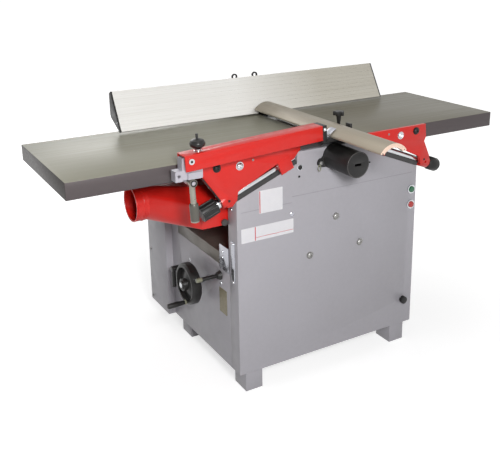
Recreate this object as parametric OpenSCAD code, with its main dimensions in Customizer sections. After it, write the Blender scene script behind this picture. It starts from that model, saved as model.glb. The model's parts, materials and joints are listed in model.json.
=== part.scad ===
// Combination planer thicknesser, standing on its four feet.
// +X runs along the tables towards the infeed end, +Y away from the operator, +Z up.
// Pieces are drawn from the cutter axis (x = 0), the front table edge (y = 0) and the floor (z = 0),
// and seat() then moves them so that the origin lies under the middle of the machine.

/* [Tables] */
// Height of the table tops above the floor
table_h = 850; // [800:5:900]
// Width of the tables, front to back
table_w = 490; // [484:1:496]
// Depth of the table rims
rim_h = 53; // [48:1:56]
// Length of the outfeed table from the cutter axis
outfeed_l = 905; // [800:5:1000]
// Length of the infeed table from the cutter axis
infeed_l = 735; // [640:5:820]

/* [Body] */
// Width of the body along the tables
body_w = 745; // [715:5:790]
// Front to back thickness of each side frame
frame_t = 60; // [58:1:64]
// Working width between the side frames
pass_w = 410; // [400:1:420]
// Thickness of the frame sheet
sheet = 4; // [3:0.5:5]
// Width of the level top of the side frames
plateau_w = 290; // [280:2:300]
// Height of the feet
foot_h = 75; // [50:5:100]
// Slope of the table ways
way_a = 21.5; // [20:0.5:23]

/* [Cutter] */
// Radius of the circle that the knife edges run on
knife_r = 60; // [56:1:62]
// Radius of the cutter shaft in its bearings
shaft_r = 17.5; // [15:0.5:20]

/* [Thicknesser] */
// Depth of the thicknessing table below the planing tables, at its lowest
bed_d = 370; // [350:5:400]
// Radius of the column that guides the thicknessing table
column_r = 45; // [38:1:50]
// Radius of the handwheel
wheel_r = 75; // [66:1:84]

/* [Fence] */
// Length of the fence
fence_l = 1145; // [900:5:1200]
// Height of the fence face
fence_h = 145; // [130:1:160]
// Lean of the fence away from the operator
fence_lean = 30; // [0:1:45]
// Rear end of the fence bar, behind the front table edge
bar_end = 790; // [740:5:840]

/* [Guard] */
// Length of the bridge guard
guard_l = 745; // [600:5:800]
// Width of the bridge guard
guard_w = 98; // [90:1:110]
// Reach of the bridge guard in front of the tables
guard_reach = 305; // [220:5:330]

/* [Dust hood] */
// Outer radius of the dust port
port_r = 60; // [50:1:62]
// Wall of the dust hood
hood_t = 3; // [2:0.5:4]

/* [Hidden] */
$fn = 64;
// Radial running fit of a shaft in its bore
fit = 0.05;
// Clearance between pieces that move past each other
gap = 0.3;
// Overrun of every cut
over = 1;

// Main places
cutter_x = (outfeed_l - infeed_l) / 2;
mid_y = (bar_end - guard_reach) / 2;
body_d = 2 * frame_t + pass_w;
rear_y = frame_t + pass_w;
half_w = body_w / 2;
cutter_z = table_h - knife_r;
mid_pass = body_d / 2;

// Frames and ways
plateau_d = 26;
shoulder_d = 66;
half_plateau = plateau_w / 2;
way_l = (half_w - half_plateau) / cos(way_a);
shoulder_low = table_h - shoulder_d - (half_w - half_plateau) * tan(way_a);
rod_r = 11;
pad_t = 12;
rod_n = pad_t + rod_r;
rod_inset = 12;
rod_past = 10;
rod_l = way_l + rod_past;
rod_ys = [rod_inset, body_d - rod_inset];
pad_edge = 1.5;
pad_seat = pad_t + rod_r / 3;
beam_s0 = 85;
beam_s1 = 160;
beam_t = 14;

// Bearings and shafts in the frames
bearing_r = 27;
bearing_w = 20;
bearing_in = 2;
hub_r = 33;
hub_l = 26;
front_seat = 16;
chuck_hole_r = 22;
roller_u = 82;
roller_r = 25;
roller_d = 94;
roller_z = table_h - roller_d;
journal_r = 12;
journal_l = 15;
bush_r = 20;
bush_l = 18;
end_gap = 4;
finger_u = 130;
finger_d = 75;
finger_z = table_h - finger_d;
finger_shaft_r = 8;
finger_bush_r = 13;

// Rear table hinges
hinge_out = 15;
hinge_room = 40;
hinge_y = max(body_d, table_w + hinge_room) + hinge_out;
hinge_d = 25;
hinge_z = table_h - hinge_d;
pin_r = 8;
knuckle_r = 16;
knuckle_w = 16;
knuckle_foot = 3;
lug_w = 12;
lug_gap = 0.4;
lug_drop = 70;
lug_foot = 8;
knuckle_ins = [108, 22];
knuckle_us = [for (inset = knuckle_ins) half_w - inset];

// Table brackets
bracket_t = 12;
bracket_h = 150;
bracket_in = 4;
bracket_u = half_plateau - bracket_in;
infeed_bracket_past = 47.5;
infeed_bracket_l = half_w - bracket_u + infeed_bracket_past;
outfeed_bracket_past = 121.5;
outfeed_bracket_l = half_w - bracket_u + outfeed_bracket_past;
infeed_bracket_shares = [[0, 0.007], [0.914, 0], [0.928, 0.32], [0.903, 0.42], [1, 0.807], [0.993, 0.933],
    [0.946, 1], [0.857, 0.98], [0.828, 0.787], [0.312, 0.333], [0.276, 0.427], [0.09, 0.293], [0.032, 0.16],
    [0, 0.107]];
outfeed_bracket_shares = [[0, 0.007], [1, 0], [0.986, 0.36], [0.773, 1.067], [0.745, 1.12], [0.705, 1.1],
    [0.666, 0.973], [0.654, 0.787], [0.246, 0.333], [0.218, 0.427], [0.071, 0.293], [0.025, 0.16],
    [0, 0.107]];
facet_w = 40;
facet_drop = 9;
collar_s0 = 22;
collar_l = 48;
collar_r = 20;
collar_top = 48;
collar_lip = 2;
boss_r = 22;
boss_l = 36;
boss_gap = 2;
boss_s0 = rod_l + boss_gap;
set_hole_r = 4;
spindle_r = 5;
spindle_in = 40;
knob_s0 = boss_s0 + boss_l + gap;
knob_ring_l = 15;
handle_ring_l = 5;
knob_ring_r = 15;
knob_r = 26;
knob_l = 56;
flute_r = 5;
flutes = 10;
handle_r = 25;
handle_l = 50;
handle_shares = [[0.8, 0], [1, 0.2], [1, 0.85], [0.85, 1]];
rear_plate_t = 10;
rear_plate_in = 30;
rear_plate_l = 205;
rear_plate_u0 = half_plateau + rear_plate_in;
rear_plate_u1 = rear_plate_u0 + rear_plate_l;
rear_plate_d = 58;

// Planing tables
lip_us = [22, 37, 51];
lip_ds = [3, 10, 20];
rim_in = 95;
rim_u = half_plateau + rim_in;
rim_slope = 15;
rim_t = 10;
top_t = 12;
rib_t = 8;
rib_bays = 5;
rib_rows = 3;

// Feet, tray, panels and rear cabinet
foot_w = 65;
foot_l = 80;
foot_in = 26;
foot_pad = 8;
tray_t = 6;
panel_t = 3;
cabinet_d = 175;
cabinet_side = 28;
cabinet_top_d = 330;

// Cutterblock and drive
knife_out = 3;
block_r = knife_r - knife_out;
knife_t = 3;
knife_h = 22;
knives_n = 3;
gullet_w = 16;
gullet_h = 20;
block_gap = 2;
chuck_r = 24;
chuck_l = 70;
chuck_y = 30;
chuck_bore_r = 8;
pulley_r = 23;
pulley_w = 22;
pulley_gap = 5;
pulley_y = body_d - sheet - pulley_gap - pulley_w;
groove_d = 3;
groove_w = 5;
grooves = 3;
motor_pulley_r = 33;
motor_u = 215;
motor_rise = 169;
motor_z = foot_h + tray_t + motor_rise;
motor_r = 85;
motor_l = 230;
motor_rear = 25;
motor_y1 = rear_y - motor_rear;
motor_y0 = motor_y1 - motor_l;
motor_shaft_r = 12;
motor_shaft_in = 90;
motor_base_w = 130;
motor_fin = 4;
motor_fins = 24;
belt_t = 5;
belt_w = 16;

// Fingers
fingers_n = 11;
finger_t = 10;
finger_l = 47;
finger_w = 22;
finger_eye_r = 13;

// Thicknessing table and its lift
bed_t = 45;
panel_top = table_h - bed_d - bed_t - gap;
bed_top_t = 18;
bed_side = 2;
column_bottom = 140;
sleeve_wall = 15;
sleeve_r = column_r + sleeve_wall;
sleeve_gap = 105;
sleeve_top = table_h - bed_d - bed_t - sleeve_gap;
wheel_shift = 3;
wheel_y = mid_pass - wheel_shift;
wheel_d = 525;
wheel_z = table_h - wheel_d;
wheel_shaft_r = 10;
screw_u = -140;
screw_r = 12;
screw_bottom = 150;
bevel_r = 24;
bevel_face = 10;
bevel_gap = 0.2;
nut_hub_r = 20;
nut_hub_l = 22;
lift_block = 80;
lift_block_h = 38;
lift_leg_t = 10;
panel_bush_r = 18;
panel_bush_l = 22;
wheel_off = 40;
wheel_w = 44;
wheel_rim_w = 36;
wheel_rim_h = 14;
wheel_round = 6;
wheel_hub_r = 22;
wheel_web_t = 7;
web_hub_z = 22;
web_rim_z = 11;
dial_r = 16;
dial_h = 4;
crank_in = 10;
crank_arm = wheel_r - crank_in;
crank_a = -8;
crank_stud_r = 5;
grip_l = 70;
grip_r = 10;
grip_shares = [[0.7, 0], [0.8, 0.25], [1, 0.5], [1, 0.93], [0.8, 1]];
lock_in = 30;
lock_y = rear_y - lock_in;
lock_d = 542;
lock_stud_r = 6;
lock_hub_r = 10;
lock_hub_l = 46;
lock_arm = 72;
lock_arm_r = 8;
lock_stud_l = lock_hub_l - 2 * lock_arm_r;
pull_in = 68;
rod_pull_y = frame_t + pull_in;
rod_pull_d = 455;
pull_r = 7;
pull_l = 90;
pull_tail = 20;
pull_bush_r = 17;
pull_bush_nose = 11;
pull_bush_l = 14;

// Switch and gland
switch_u = 349;
switch_ds = [240, 298];
button_r = 11;
button_out = 9;
button_in = 12;
bezel_r = 17;
bezel_t = 5;
gland_u = 330;
gland_d = 677;
gland_r = 14;
gland_l = 14;

// Chuck guard
chuck_guard_r = 44;
chuck_guard_l = 135;
chuck_guard_t = 4;
flange_t = 6;
flange_u = -52;
flange_dd = 16;
flange_r = 15;
flange_half = 36;
slot_w = 8;
slot_l = 26;

// Dust hood
port_len = 44;
port_neck_l = 5;
port_neck_in = 1.2;
port_neck_r = port_r - port_neck_in;
port_u = -626;
port_d = 193;
hood_side = 6;
hood_u0 = -462;
hood_gap = 2;
hood_u1 = -half_w - hood_gap;
hood_bottom_d = 251;
hood_cheek_d = 175;
hood_top_d = 125;
hood_cheek_y = 64;
throat_top_d = 160;
mouth_u0 = -60;
mouth_u1 = 108;
mouth_d = 130;
hood_pivot_u = 100;
hood_pivot_d = 139;
trunnion_r = 8;

// Fence and its slide
fence_u = -9.5;
fence_in = 38;
pivot_y = table_w - fence_in;
pivot_up = 8.5;
face_y = 6;
fence_bottom = 5;
plate_back = 4;
fence_back_shares = [[0.007, -0.034], [0.345, 0.47], [0.345, 0.55], [0.09, 1]];
fence_wall = 3.5;
cap_t = 6;
notch_half = 66;
notch_wall = 33;
notch_top = fence_h - notch_wall;
fence_grooves = 8;
fence_groove_w = 1.6;
fence_groove_d = 0.8;
fence_pin_r = 3;
fence_ear_r = 6;
fence_ear_w = 12;
tongue_half = 19.6;
tongue_t = 4.5;
tongue_up = 5;
bar_half = 25;
bar_h = 24;
bar_up = 3;
bar_in = 6;
bar_y = table_w - bar_in;
saddle_half = 38;
saddle_l = 110;
saddle_y1 = table_w + saddle_l;
saddle_off = 8;
saddle_foot_l = 104;
saddle_foot_t = 12;
saddle_foot_d0 = 2;
saddle_foot_d1 = 22;
saddle_low = 20;
saddle_up = 36;
lever_in = 12;
lever_y = saddle_y1 - lever_in;
lever_up = 22;
lever_hub_r = 10;
lever_hub_l = 14;
lever_l = 106;
lever_r = 5;
loop_r = 12;
loop_hole_r = 7;
loop_t = 7;

// Bridge guard and its arm
cap_block_l = 16;
cap_block_low = 6;
arm_off = 79;
arm_u0 = -bracket_u - outfeed_bracket_l - arm_off;
arm_end_gap = 28;
arm_u1 = -guard_w / 2 - arm_end_gap - cap_block_l;
arm_l = arm_u1 - arm_u0;
arm_y0 = -70;
arm_w = 54;
arm_h = 48;
arm_wall = 4.5;
arm_rise = 3.2;
arm_low = -6.5;
pivot_off = 18.5;
pivot_u = arm_u0 + pivot_off;
pivot_h = 23;
cross_r = 6;
cross_head_r = 9;
cross_head_t = 5;
post_out = 5;
post_l = 66;
post_u0 = arm_u0 - post_out;
post_front = 9.5;
post_back = 3.5;
post_ys = [arm_y0 + arm_wall + post_front, arm_y0 + arm_w - arm_wall - post_back];
post_top = 31;
plate_off = 11;
plate_l = 46;
plate_u0 = arm_u0 + plate_off;
plate_d0 = 14;
plate_d1 = 34;
plate_out = 62;
cube_w = 23;
cube_depth = 31;
cube_h = 32;
cube_d = 5.5;
cube_hole_r = 5;
height_off = 55;
height_lever = height_off - pivot_off;
height_screw_r = 5;
height_knob_r = 24;
height_knob_h = 30;
height_knob_shares = [[0.5, 0], [0.92, 0.3], [1, 0.55], [0.8, 0.85], [0.3, 1]];
height_pin_r = 4;
height_pin_l = 16;
height_stem = 8;
clamp_off = 28;
clamp_u = arm_u0 + clamp_off;
clamp_d = 48;
clamp_out = 34;
clamp_lean = 3;
clamp_r = 9;
clamp_l = 68;
clamp_hub_r = 12;
clamp_hub_l = 26;
clamp_grip_r = 13;
clamp_grip_l = 56;
clamp_stud_r = 6;
star_out = 13;
star_u = guard_w / 2 + star_out;
star_y = 58;
star_post_r = 12;
star_post_h = 6;
star_stem_r = 4;
star_taper_h = 34;
star_taper_r = 9;
star_r = 20;
star_lobe_r = 6;
star_h = 14;
star_lobes = 5;
guard_rise = 24;
guard_t = 6;
guard_lip = 5;
shoe_past = 18;
shoe_u1 = star_u + shoe_past;
shoe_y0 = -58;
shoe_y1 = 74;
shoe_up = 6;
shoe_t = 14;
shoe_rib_side = 8;
shoe_rib_w = guard_w - 2 * (guard_t + shoe_rib_side);
shoe_rib_h = 9;
guard_up = shoe_up + shoe_t + gap;

red = "#d8302b";
grey = "#a3a1a6";
dark = "#26262a";
steel = "#b9bcc0";
iron = "#6d6a66";
alloy = "#c9c4b8";

function below(d) = table_h - d;
function way_low(u) = below(shoulder_d) - (u - half_plateau) * tan(way_a);

module seat() translate([cutter_x, -mid_y, 0]) children();
module flank(side) mirror([side < 0 ? 1 : 0, 0, 0]) children();
module on_way() translate([half_plateau, 0, below(shoulder_d)]) rotate([0, way_a, 0]) children();
module rod_y(r, y0, y1) translate([0, y0, 0]) rotate([-90, 0, 0]) cylinder(r = r, h = y1 - y0);
module rod_x(r, x0, x1) translate([x0, 0, 0]) rotate([0, 90, 0]) cylinder(r = r, h = x1 - x0);
module slab_xz(y0, y1) translate([0, y1, 0]) rotate([90, 0, 0]) linear_extrude(y1 - y0) children();
module slab_yz(x0, x1) translate([x0, 0, 0]) rotate([90, 0, 90]) linear_extrude(x1 - x0) children();
module box(x, y, z) translate([x[0], y[0], z[0]]) cube([x[1] - x[0], y[1] - y[0], z[1] - z[0]]);

// Side frames

module frame_profile(t, drop) {
    hw = half_w - t;
    pl = half_plateau - t;
    lift = t * tan(way_a) - t / cos(way_a);
    z1 = below(shoulder_d) + lift;
    z2 = shoulder_low + lift;
    polygon([[-hw, foot_h - drop], [-hw, z2], [-pl, z1], [-pl, below(plateau_d) - t],
        [pl, below(plateau_d) - t], [pl, z1], [hw, z2], [hw, foot_h - drop]]);
}

module side_frame(y0) {
    difference() {
        slab_xz(y0, y0 + frame_t) frame_profile(0, 0);
        slab_xz(y0 + sheet, y0 + frame_t - sheet) frame_profile(sheet, over);
    }
}

// The places on a frame's inner wall that carry shafts
module roller_places() for (u = [-roller_u, roller_u]) translate([u, 0, roller_z]) children();
module at_cutter() translate([0, 0, cutter_z]) children();
module at_motor() translate([motor_u, 0, motor_z]) children();
module at_fingers() translate([finger_u, 0, finger_z]) children();
module at_hood_pivot() translate([hood_pivot_u, 0, below(hood_pivot_d)]) children();

module front_frame() color(grey) seat() difference() {
    union() {
        side_frame(0);
        at_cutter() rod_y(hub_r, sheet / 2, frame_t);
        roller_places() rod_y(bush_r, frame_t - bush_l, frame_t);
        at_fingers() rod_y(finger_bush_r, frame_t - bush_l, frame_t);
    }
    at_cutter() rod_y(bearing_r, front_seat, frame_t + over);
    at_cutter() rod_y(chuck_hole_r, -over, front_seat + over);
    roller_places() rod_y(journal_r + fit, frame_t - bush_l - over, frame_t + over);
    at_fingers() rod_y(finger_shaft_r, frame_t - bush_l - over, frame_t + over);
    at_hood_pivot() rod_y(trunnion_r + fit, frame_t - sheet - over, frame_t + over);
    for (d = switch_ds)
        translate([switch_u, 0, below(d)]) rod_y(button_r + fit + bezel_t / 2, -over, sheet + over);
    translate([gland_u, 0, below(gland_d)]) rod_y(gland_r / 2, -over, sheet + over);
}

module hinge_lug(u0) {
    root = way_low(u0 + lug_w) - lug_foot;
    slab_yz(u0, u0 + lug_w) difference() {
        union() {
            polygon([[body_d - sheet, root - lug_drop], [body_d - sheet, root], [body_d, root],
                [body_d, hinge_z], [hinge_y + knuckle_r, hinge_z], [hinge_y + knuckle_r, root],
                [body_d + lug_foot, root - lug_drop]]);
            translate([hinge_y, hinge_z]) circle(r = knuckle_r);
        }
        translate([hinge_y, hinge_z]) circle(r = pin_r);
    }
}

module rear_frame() color(grey) seat() difference() {
    union() {
        side_frame(rear_y);
        at_cutter() rod_y(hub_r, rear_y, rear_y + hub_l);
        roller_places() rod_y(bush_r, rear_y, rear_y + bush_l);
        at_fingers() rod_y(finger_bush_r, rear_y, rear_y + bush_l);
        for (side = [-1, 1], u = knuckle_us) flank(side) {
            hinge_lug(u - knuckle_w / 2 - lug_gap - lug_w);
            hinge_lug(u + knuckle_w / 2 + lug_gap);
        }
    }
    at_cutter() rod_y(bearing_r, rear_y - over, rear_y + hub_l + over);
    roller_places() rod_y(journal_r + fit, rear_y - over, rear_y + bush_l + over);
    at_fingers() rod_y(finger_shaft_r, rear_y - over, rear_y + bush_l + over);
    at_hood_pivot() rod_y(trunnion_r + fit, rear_y - over, rear_y + sheet + over);
    at_motor() rod_y(motor_shaft_r + sheet, rear_y - over, rear_y + sheet + over);
}

// Body

module end_panels() color(grey) seat() {
    difference() {
        union() {
            box([-half_w, panel_t - half_w], [frame_t, rear_y], [foot_h, panel_top]);
            translate([0, wheel_y, wheel_z]) rod_x(panel_bush_r, -half_w, panel_bush_l - half_w);
            translate([0, lock_y, below(lock_d)]) rod_x(lock_stud_r, -half_w - lock_stud_l, panel_t - half_w);
        }
        translate([-half_w, wheel_y, wheel_z]) rod_x(wheel_shaft_r + fit, -over, panel_bush_l + over);
        translate([-half_w, rod_pull_y, below(rod_pull_d)]) rod_x(pull_r + fit, -over, panel_t + over);
    }
    box([half_w - panel_t, half_w], [frame_t, rear_y], [foot_h, panel_top]);
}

module bottom_tray() color(grey) seat() {
    box([panel_t - half_w, half_w - panel_t], [frame_t, rear_y], [foot_h, foot_h + tray_t]);
}

module feet() color(grey) seat() {
    for (side = [-1, 1], y = [foot_pad, body_d - foot_pad - foot_l]) flank(side) {
        box([half_w - foot_in - foot_w, half_w - foot_in], [y, y + foot_l], [0, foot_h]);
    }
}

module rear_cabinet() color(grey) seat() {
    u = half_w + cabinet_side;
    difference() {
        box([-u, u], [body_d, body_d + cabinet_d], [foot_h, below(cabinet_top_d)]);
        box([panel_t - u, u - panel_t], [body_d + panel_t, body_d + cabinet_d - panel_t],
            [foot_h - over, below(cabinet_top_d) - panel_t]);
    }
}

module cutter_bearings() color(steel) seat() at_cutter() {
    for (y = [front_seat + bearing_in, rear_y + bearing_in]) difference() {
        rod_y(bearing_r, y, y + bearing_w);
        rod_y(shaft_r + fit, y - over, y + bearing_w + over);
    }
}

module motor() color(dark) seat() {
    difference() {
        union() {
            at_motor() rod_y(motor_r, motor_y0, motor_y1);
            box([motor_u - motor_base_w / 2, motor_u + motor_base_w / 2],
                [motor_y0 + bush_l, motor_y1 - bush_l], [foot_h + tray_t, motor_z]);
        }
        at_motor() rod_y(motor_shaft_r + fit, motor_y1 - motor_shaft_in, motor_y1 + over);
        for (i = [0 : motor_fins - 1]) at_motor() rotate([0, i * 360 / motor_fins, 0])
            box([-motor_fin / 2, motor_fin / 2], [motor_y0 + bush_r, motor_y1 - bush_r],
                [motor_r - motor_fin, motor_r + over]);
    }
}

module belt_loop(extra) hull() {
    translate([0, cutter_z]) circle(r = pulley_r + extra);
    translate([motor_u, motor_z]) circle(r = motor_pulley_r + extra);
}

module drive_belt() color(dark) seat() {
    y = pulley_y + (pulley_w - belt_w) / 2;
    slab_xz(y, y + belt_w) difference() {
        belt_loop(gap + belt_t);
        belt_loop(gap);
    }
}

module hinge_pins() color(steel) seat() {
    u0 = knuckle_us[0] - knuckle_w / 2 - lug_gap - lug_w;
    u1 = knuckle_us[1] + knuckle_w / 2 + lug_gap + lug_w;
    for (side = [-1, 1]) flank(side) translate([0, hinge_y, hinge_z]) rod_x(pin_r, u0, u1);
}

module column_sleeve() color(iron) seat() translate([0, mid_pass, 0]) difference() {
    union() {
        translate([0, 0, foot_h + tray_t]) cylinder(r = sleeve_r, h = sleeve_top - foot_h - tray_t);
        translate([0, 0, foot_h + tray_t]) cylinder(r = sleeve_r + bush_r, h = tray_t);
    }
    translate([0, 0, foot_h]) cylinder(r = column_r + fit, h = sleeve_top);
}

module lift_gearbox() color(iron) seat() translate([screw_u, wheel_y, 0]) {
    half = lift_block / 2;
    top = wheel_z - bevel_r;
    difference() {
        union() {
            box([-half, half], [-half, half], [top - lift_block_h, top]);
            for (side = [-1, 1]) box([-half, half], [side * half - (side > 0 ? lift_leg_t : 0),
                side * half + (side < 0 ? lift_leg_t : 0)], [foot_h + tray_t, top]);
            box([-half - lift_leg_t, -half], [-half, half], [foot_h + tray_t, wheel_z + nut_hub_r]);
        }
        translate([0, 0, foot_h]) cylinder(r = nut_hub_r + fit, h = wheel_z);
        translate([0, 0, wheel_z]) rod_x(wheel_shaft_r + fit, -half - lift_leg_t - over, -half + over);
    }
}

module finger_shaft() color(steel) seat() at_fingers() {
    rod_y(finger_shaft_r, frame_t - bush_l, rear_y + bush_l);
}

module chuck_guard() color(dark) seat() at_cutter() difference() {
    union() {
        rod_y(chuck_guard_r, -chuck_guard_l, 0);
        slab_xz(-flange_t, 0) {
            translate([flange_u, -flange_dd]) circle(r = flange_r);
            polygon([[0, flange_half], [0, -flange_half], [flange_u, -flange_dd - flange_r],
                [flange_u, flange_r - flange_dd]]);
        }
    }
    rod_y(chuck_guard_r - chuck_guard_t, chuck_guard_t - chuck_guard_l, over);
    box([-slot_l / 2, slot_l / 2], [-chuck_guard_l - over, 2 * chuck_guard_t - chuck_guard_l],
        [-slot_w / 2, slot_w / 2]);
}

module switch_bezels() color(alloy) seat() {
    for (d = switch_ds) translate([switch_u, 0, below(d)]) difference() {
        union() {
            rod_y(bezel_r, -bezel_t, 0);
            rod_y(button_r + fit + bezel_t / 2, 0, button_in);
        }
        rod_y(button_r + fit, -bezel_t - over, button_in + over);
    }
}

module button(d) translate([switch_u, 0, below(d)]) {
    rod_y(button_r, -button_out, button_in);
}

module start_button() color("seagreen") seat() button(switch_ds[0]);
module stop_button() color(red) seat() button(switch_ds[1]);

module cable_gland() color(dark) seat() translate([gland_u, 0, below(gland_d)]) {
    rod_y(gland_r, -gland_l, 0);
    rod_y(gland_r / 2, -over, sheet);
}

// Cutter, drive and feed

module cutterblock() color(steel) seat() at_cutter() difference() {
    union() {
        rod_y(block_r, frame_t + block_gap, rear_y - block_gap);
        rod_y(shaft_r, -chuck_y, pulley_y + pulley_w);
        rod_y(chuck_r, -chuck_y - chuck_l, -chuck_y);
    }
    rod_y(chuck_bore_r, -chuck_y - chuck_l - over, -chuck_y - over);
    for (i = [0 : knives_n - 1]) rotate([0, i * 360 / knives_n, 0]) {
        box([0, gullet_w], [frame_t + over, rear_y - over], [block_r - gullet_h, knife_r]);
    }
}

module knives() color(alloy) seat() at_cutter() for (i = [0 : knives_n - 1]) {
    rotate([0, i * 360 / knives_n, 0]) intersection() {
        box([0, knife_t], [frame_t + block_gap, rear_y - block_gap], [knife_r - knife_h, knife_r]);
        rod_y(knife_r, frame_t, rear_y);
    }
}

module grooved_pulley(r, bore) rotate([-90, 0, 0]) rotate_extrude() difference() {
    translate([bore, 0]) square([r - bore, pulley_w]);
    for (i = [0 : grooves - 1]) translate([r, (i + 1) * pulley_w / (grooves + 1)])
        polygon([[over, -groove_w / 2 - over], [-groove_d, 0], [over, groove_w / 2 + over]]);
}

module cutter_pulley() color(iron) seat() at_cutter() translate([0, pulley_y, 0]) {
    grooved_pulley(pulley_r, shaft_r);
}

module motor_rotor() color(iron) seat() at_motor() {
    rod_y(motor_shaft_r, motor_y1 - motor_shaft_in + over, pulley_y + pulley_w);
    translate([0, pulley_y, 0]) grooved_pulley(motor_pulley_r, motor_shaft_r);
}

module feed_roller(u) translate([u, 0, roller_z]) {
    rod_y(roller_r, frame_t + end_gap, rear_y - end_gap);
    rod_y(journal_r, frame_t + end_gap - journal_l, rear_y - end_gap + journal_l);
}

module infeed_roller() color(steel) seat() feed_roller(roller_u);
module outfeed_roller() color(steel) seat() feed_roller(-roller_u);

module kickback_fingers() color(iron) seat() at_fingers() {
    pitch = pass_w / fingers_n;
    first = frame_t + (pitch - finger_t) / 2;
    for (i = [0 : fingers_n - 1]) slab_xz(first + i * pitch, first + i * pitch + finger_t) difference() {
        union() {
            circle(r = finger_eye_r);
            polygon([[-finger_w / 2, 0], [finger_w / 2, 0], [finger_w / 4, -finger_l],
                [-finger_w / 4, -finger_l]]);
        }
        circle(r = finger_shaft_r + fit);
    }
}

// Thicknessing table and its lift

module thickness_table() color(iron) seat() difference() {
    bay_l = (half_w - sleeve_r - bush_r) / 2;
    row_w = (pass_w - 2 * bed_side - rim_t) / 3;
    box([-half_w, half_w], [frame_t + bed_side, rear_y - bed_side], [below(bed_d) - bed_t, below(bed_d)]);
    for (side = [-1, 1], row = [0 : 2], bay = [0 : 1]) flank(side) {
        u = sleeve_r + bush_r + bay * bay_l;
        y = frame_t + bed_side + rim_t + row * row_w;
        box([u, u + bay_l - rim_t], [y, y + row_w - rim_t],
            [below(bed_d) - bed_t - over, below(bed_d) - bed_top_t]);
    }
    translate([screw_u, wheel_y, below(bed_d) - bed_t - over])
        cylinder(r = screw_r, h = bed_t - bed_top_t + over);
}

module bed_column() color(steel) seat() translate([0, mid_pass, column_bottom]) {
    cylinder(r = column_r, h = below(bed_d) - bed_t - column_bottom);
}

module lift_screw() color(steel) seat() translate([screw_u, wheel_y, screw_bottom]) {
    cylinder(r = screw_r, h = below(bed_d) - bed_top_t - screw_bottom);
}

module bevel_blank(bore) rotate_extrude() polygon([[bore, 0], [bevel_r - bevel_gap, 0],
    [bevel_r - bevel_face - bevel_gap, bevel_face], [bore, bevel_face]]);

module bevel_nut() color(iron) seat() translate([screw_u, wheel_y, wheel_z - bevel_r]) {
    translate([0, 0, gap]) bevel_blank(screw_r + fit);
    translate([0, 0, -nut_hub_l]) difference() {
        cylinder(r = nut_hub_r, h = nut_hub_l + gap);
        translate([0, 0, -over]) cylinder(r = screw_r + fit, h = nut_hub_l + 2 * over);
    }
}

module wheel_shaft() color(steel) seat() translate([0, wheel_y, wheel_z]) {
    rod_x(wheel_shaft_r, -half_w - wheel_off - wheel_w + wheel_web_t, screw_u - bevel_r);
    translate([screw_u - bevel_r - gap, 0, 0]) rotate([0, 90, 0]) bevel_blank(0);
}

module at_wheel() translate([-half_w - wheel_off, wheel_y, wheel_z]) rotate([0, -90, 0]) children();

module handwheel() color(dark) seat() at_wheel() {
    inner = wheel_r - wheel_rim_h;
    rotate_extrude() polygon([[wheel_shaft_r, 0], [wheel_hub_r, 0], [wheel_hub_r, web_hub_z],
        [inner, web_rim_z], [inner, 0], [wheel_r - wheel_round, 0], [wheel_r, wheel_round],
        [wheel_r, wheel_rim_w - wheel_round], [wheel_r - wheel_round, wheel_rim_w], [inner, wheel_rim_w],
        [inner, web_rim_z + wheel_web_t],
        [wheel_hub_r, web_hub_z + wheel_web_t], [wheel_hub_r, wheel_w], [wheel_shaft_r, wheel_w]]);
    translate([0, 0, wheel_w]) cylinder(r = dial_r, h = dial_h);
    rotate([0, 0, 180 - crank_a]) translate([crank_arm, 0, web_rim_z]) {
        cylinder(r = crank_stud_r, h = wheel_rim_w + grip_l - web_rim_z);
    }
}

module crank_grip() color(dark) seat() at_wheel() {
    rotate([0, 0, 180 - crank_a]) translate([crank_arm, 0, wheel_rim_w + gap]) rotate_extrude() {
        bore = crank_stud_r + fit;
        polygon(concat([[bore, 0]], [for (p = grip_shares) [p[0] * grip_r, p[1] * (grip_l - gap)]],
            [[bore, grip_l - gap]]));
    }
}

module lock_lever() color(dark) seat() translate([-half_w, lock_y, below(lock_d)]) {
    difference() {
        union() {
            rod_x(lock_hub_r, -lock_hub_l, -gap);
            translate([lock_arm_r - lock_hub_l, 0, -lock_arm]) cylinder(r = lock_arm_r, h = lock_arm);
        }
        rod_x(lock_stud_r + fit, -lock_stud_l - gap, 0);
    }
}

module feed_rod() color(dark) seat() translate([0, rod_pull_y, below(rod_pull_d)]) {
    rod_x(pull_r, -half_w - pull_l, pull_tail - half_w);
}

module feed_bush() color(dark) seat() translate([-half_w, rod_pull_y, below(rod_pull_d)]) {
    bore = pull_r + fit;
    rotate([0, -90, 0]) rotate_extrude()
        polygon([[bore, 0], [pull_bush_r, 0], [pull_bush_nose, pull_bush_l], [bore, pull_bush_l]]);
}

// Dust hood

module hood_section(t) polygon([
    [frame_t + hood_side + t, below(hood_bottom_d) + t], [frame_t + hood_side + t, below(hood_cheek_d)],
    [frame_t + hood_side + hood_cheek_y + t, below(hood_top_d) - t],
    [rear_y - hood_side - hood_cheek_y - t, below(hood_top_d) - t],
    [rear_y - hood_side - t, below(hood_cheek_d)], [rear_y - hood_side - t, below(hood_bottom_d) + t]]);

module hood_loft(t, extra) hull() {
    slab_yz(hood_u0, hood_u0 + over) hood_section(t);
    translate([port_u + port_len - extra, mid_pass, below(port_d)]) {
        rod_x(t > 0 ? port_r - t : port_neck_r, 0, over);
    }
}

module throat_profile(t) polygon([
    [hood_u1 - over, below(hood_bottom_d) + t], [hood_u1 - over, below(throat_top_d) - t],
    [mouth_u0 + t, below(throat_top_d) - t], [mouth_u0 + t, below(mouth_d) + (t > 0 ? over : 0)],
    [mouth_u1 - t, below(mouth_d) + (t > 0 ? over : 0)], [mouth_u1 - t, below(throat_top_d) - t],
    [mouth_u0, below(hood_bottom_d) + t]]);

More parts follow.
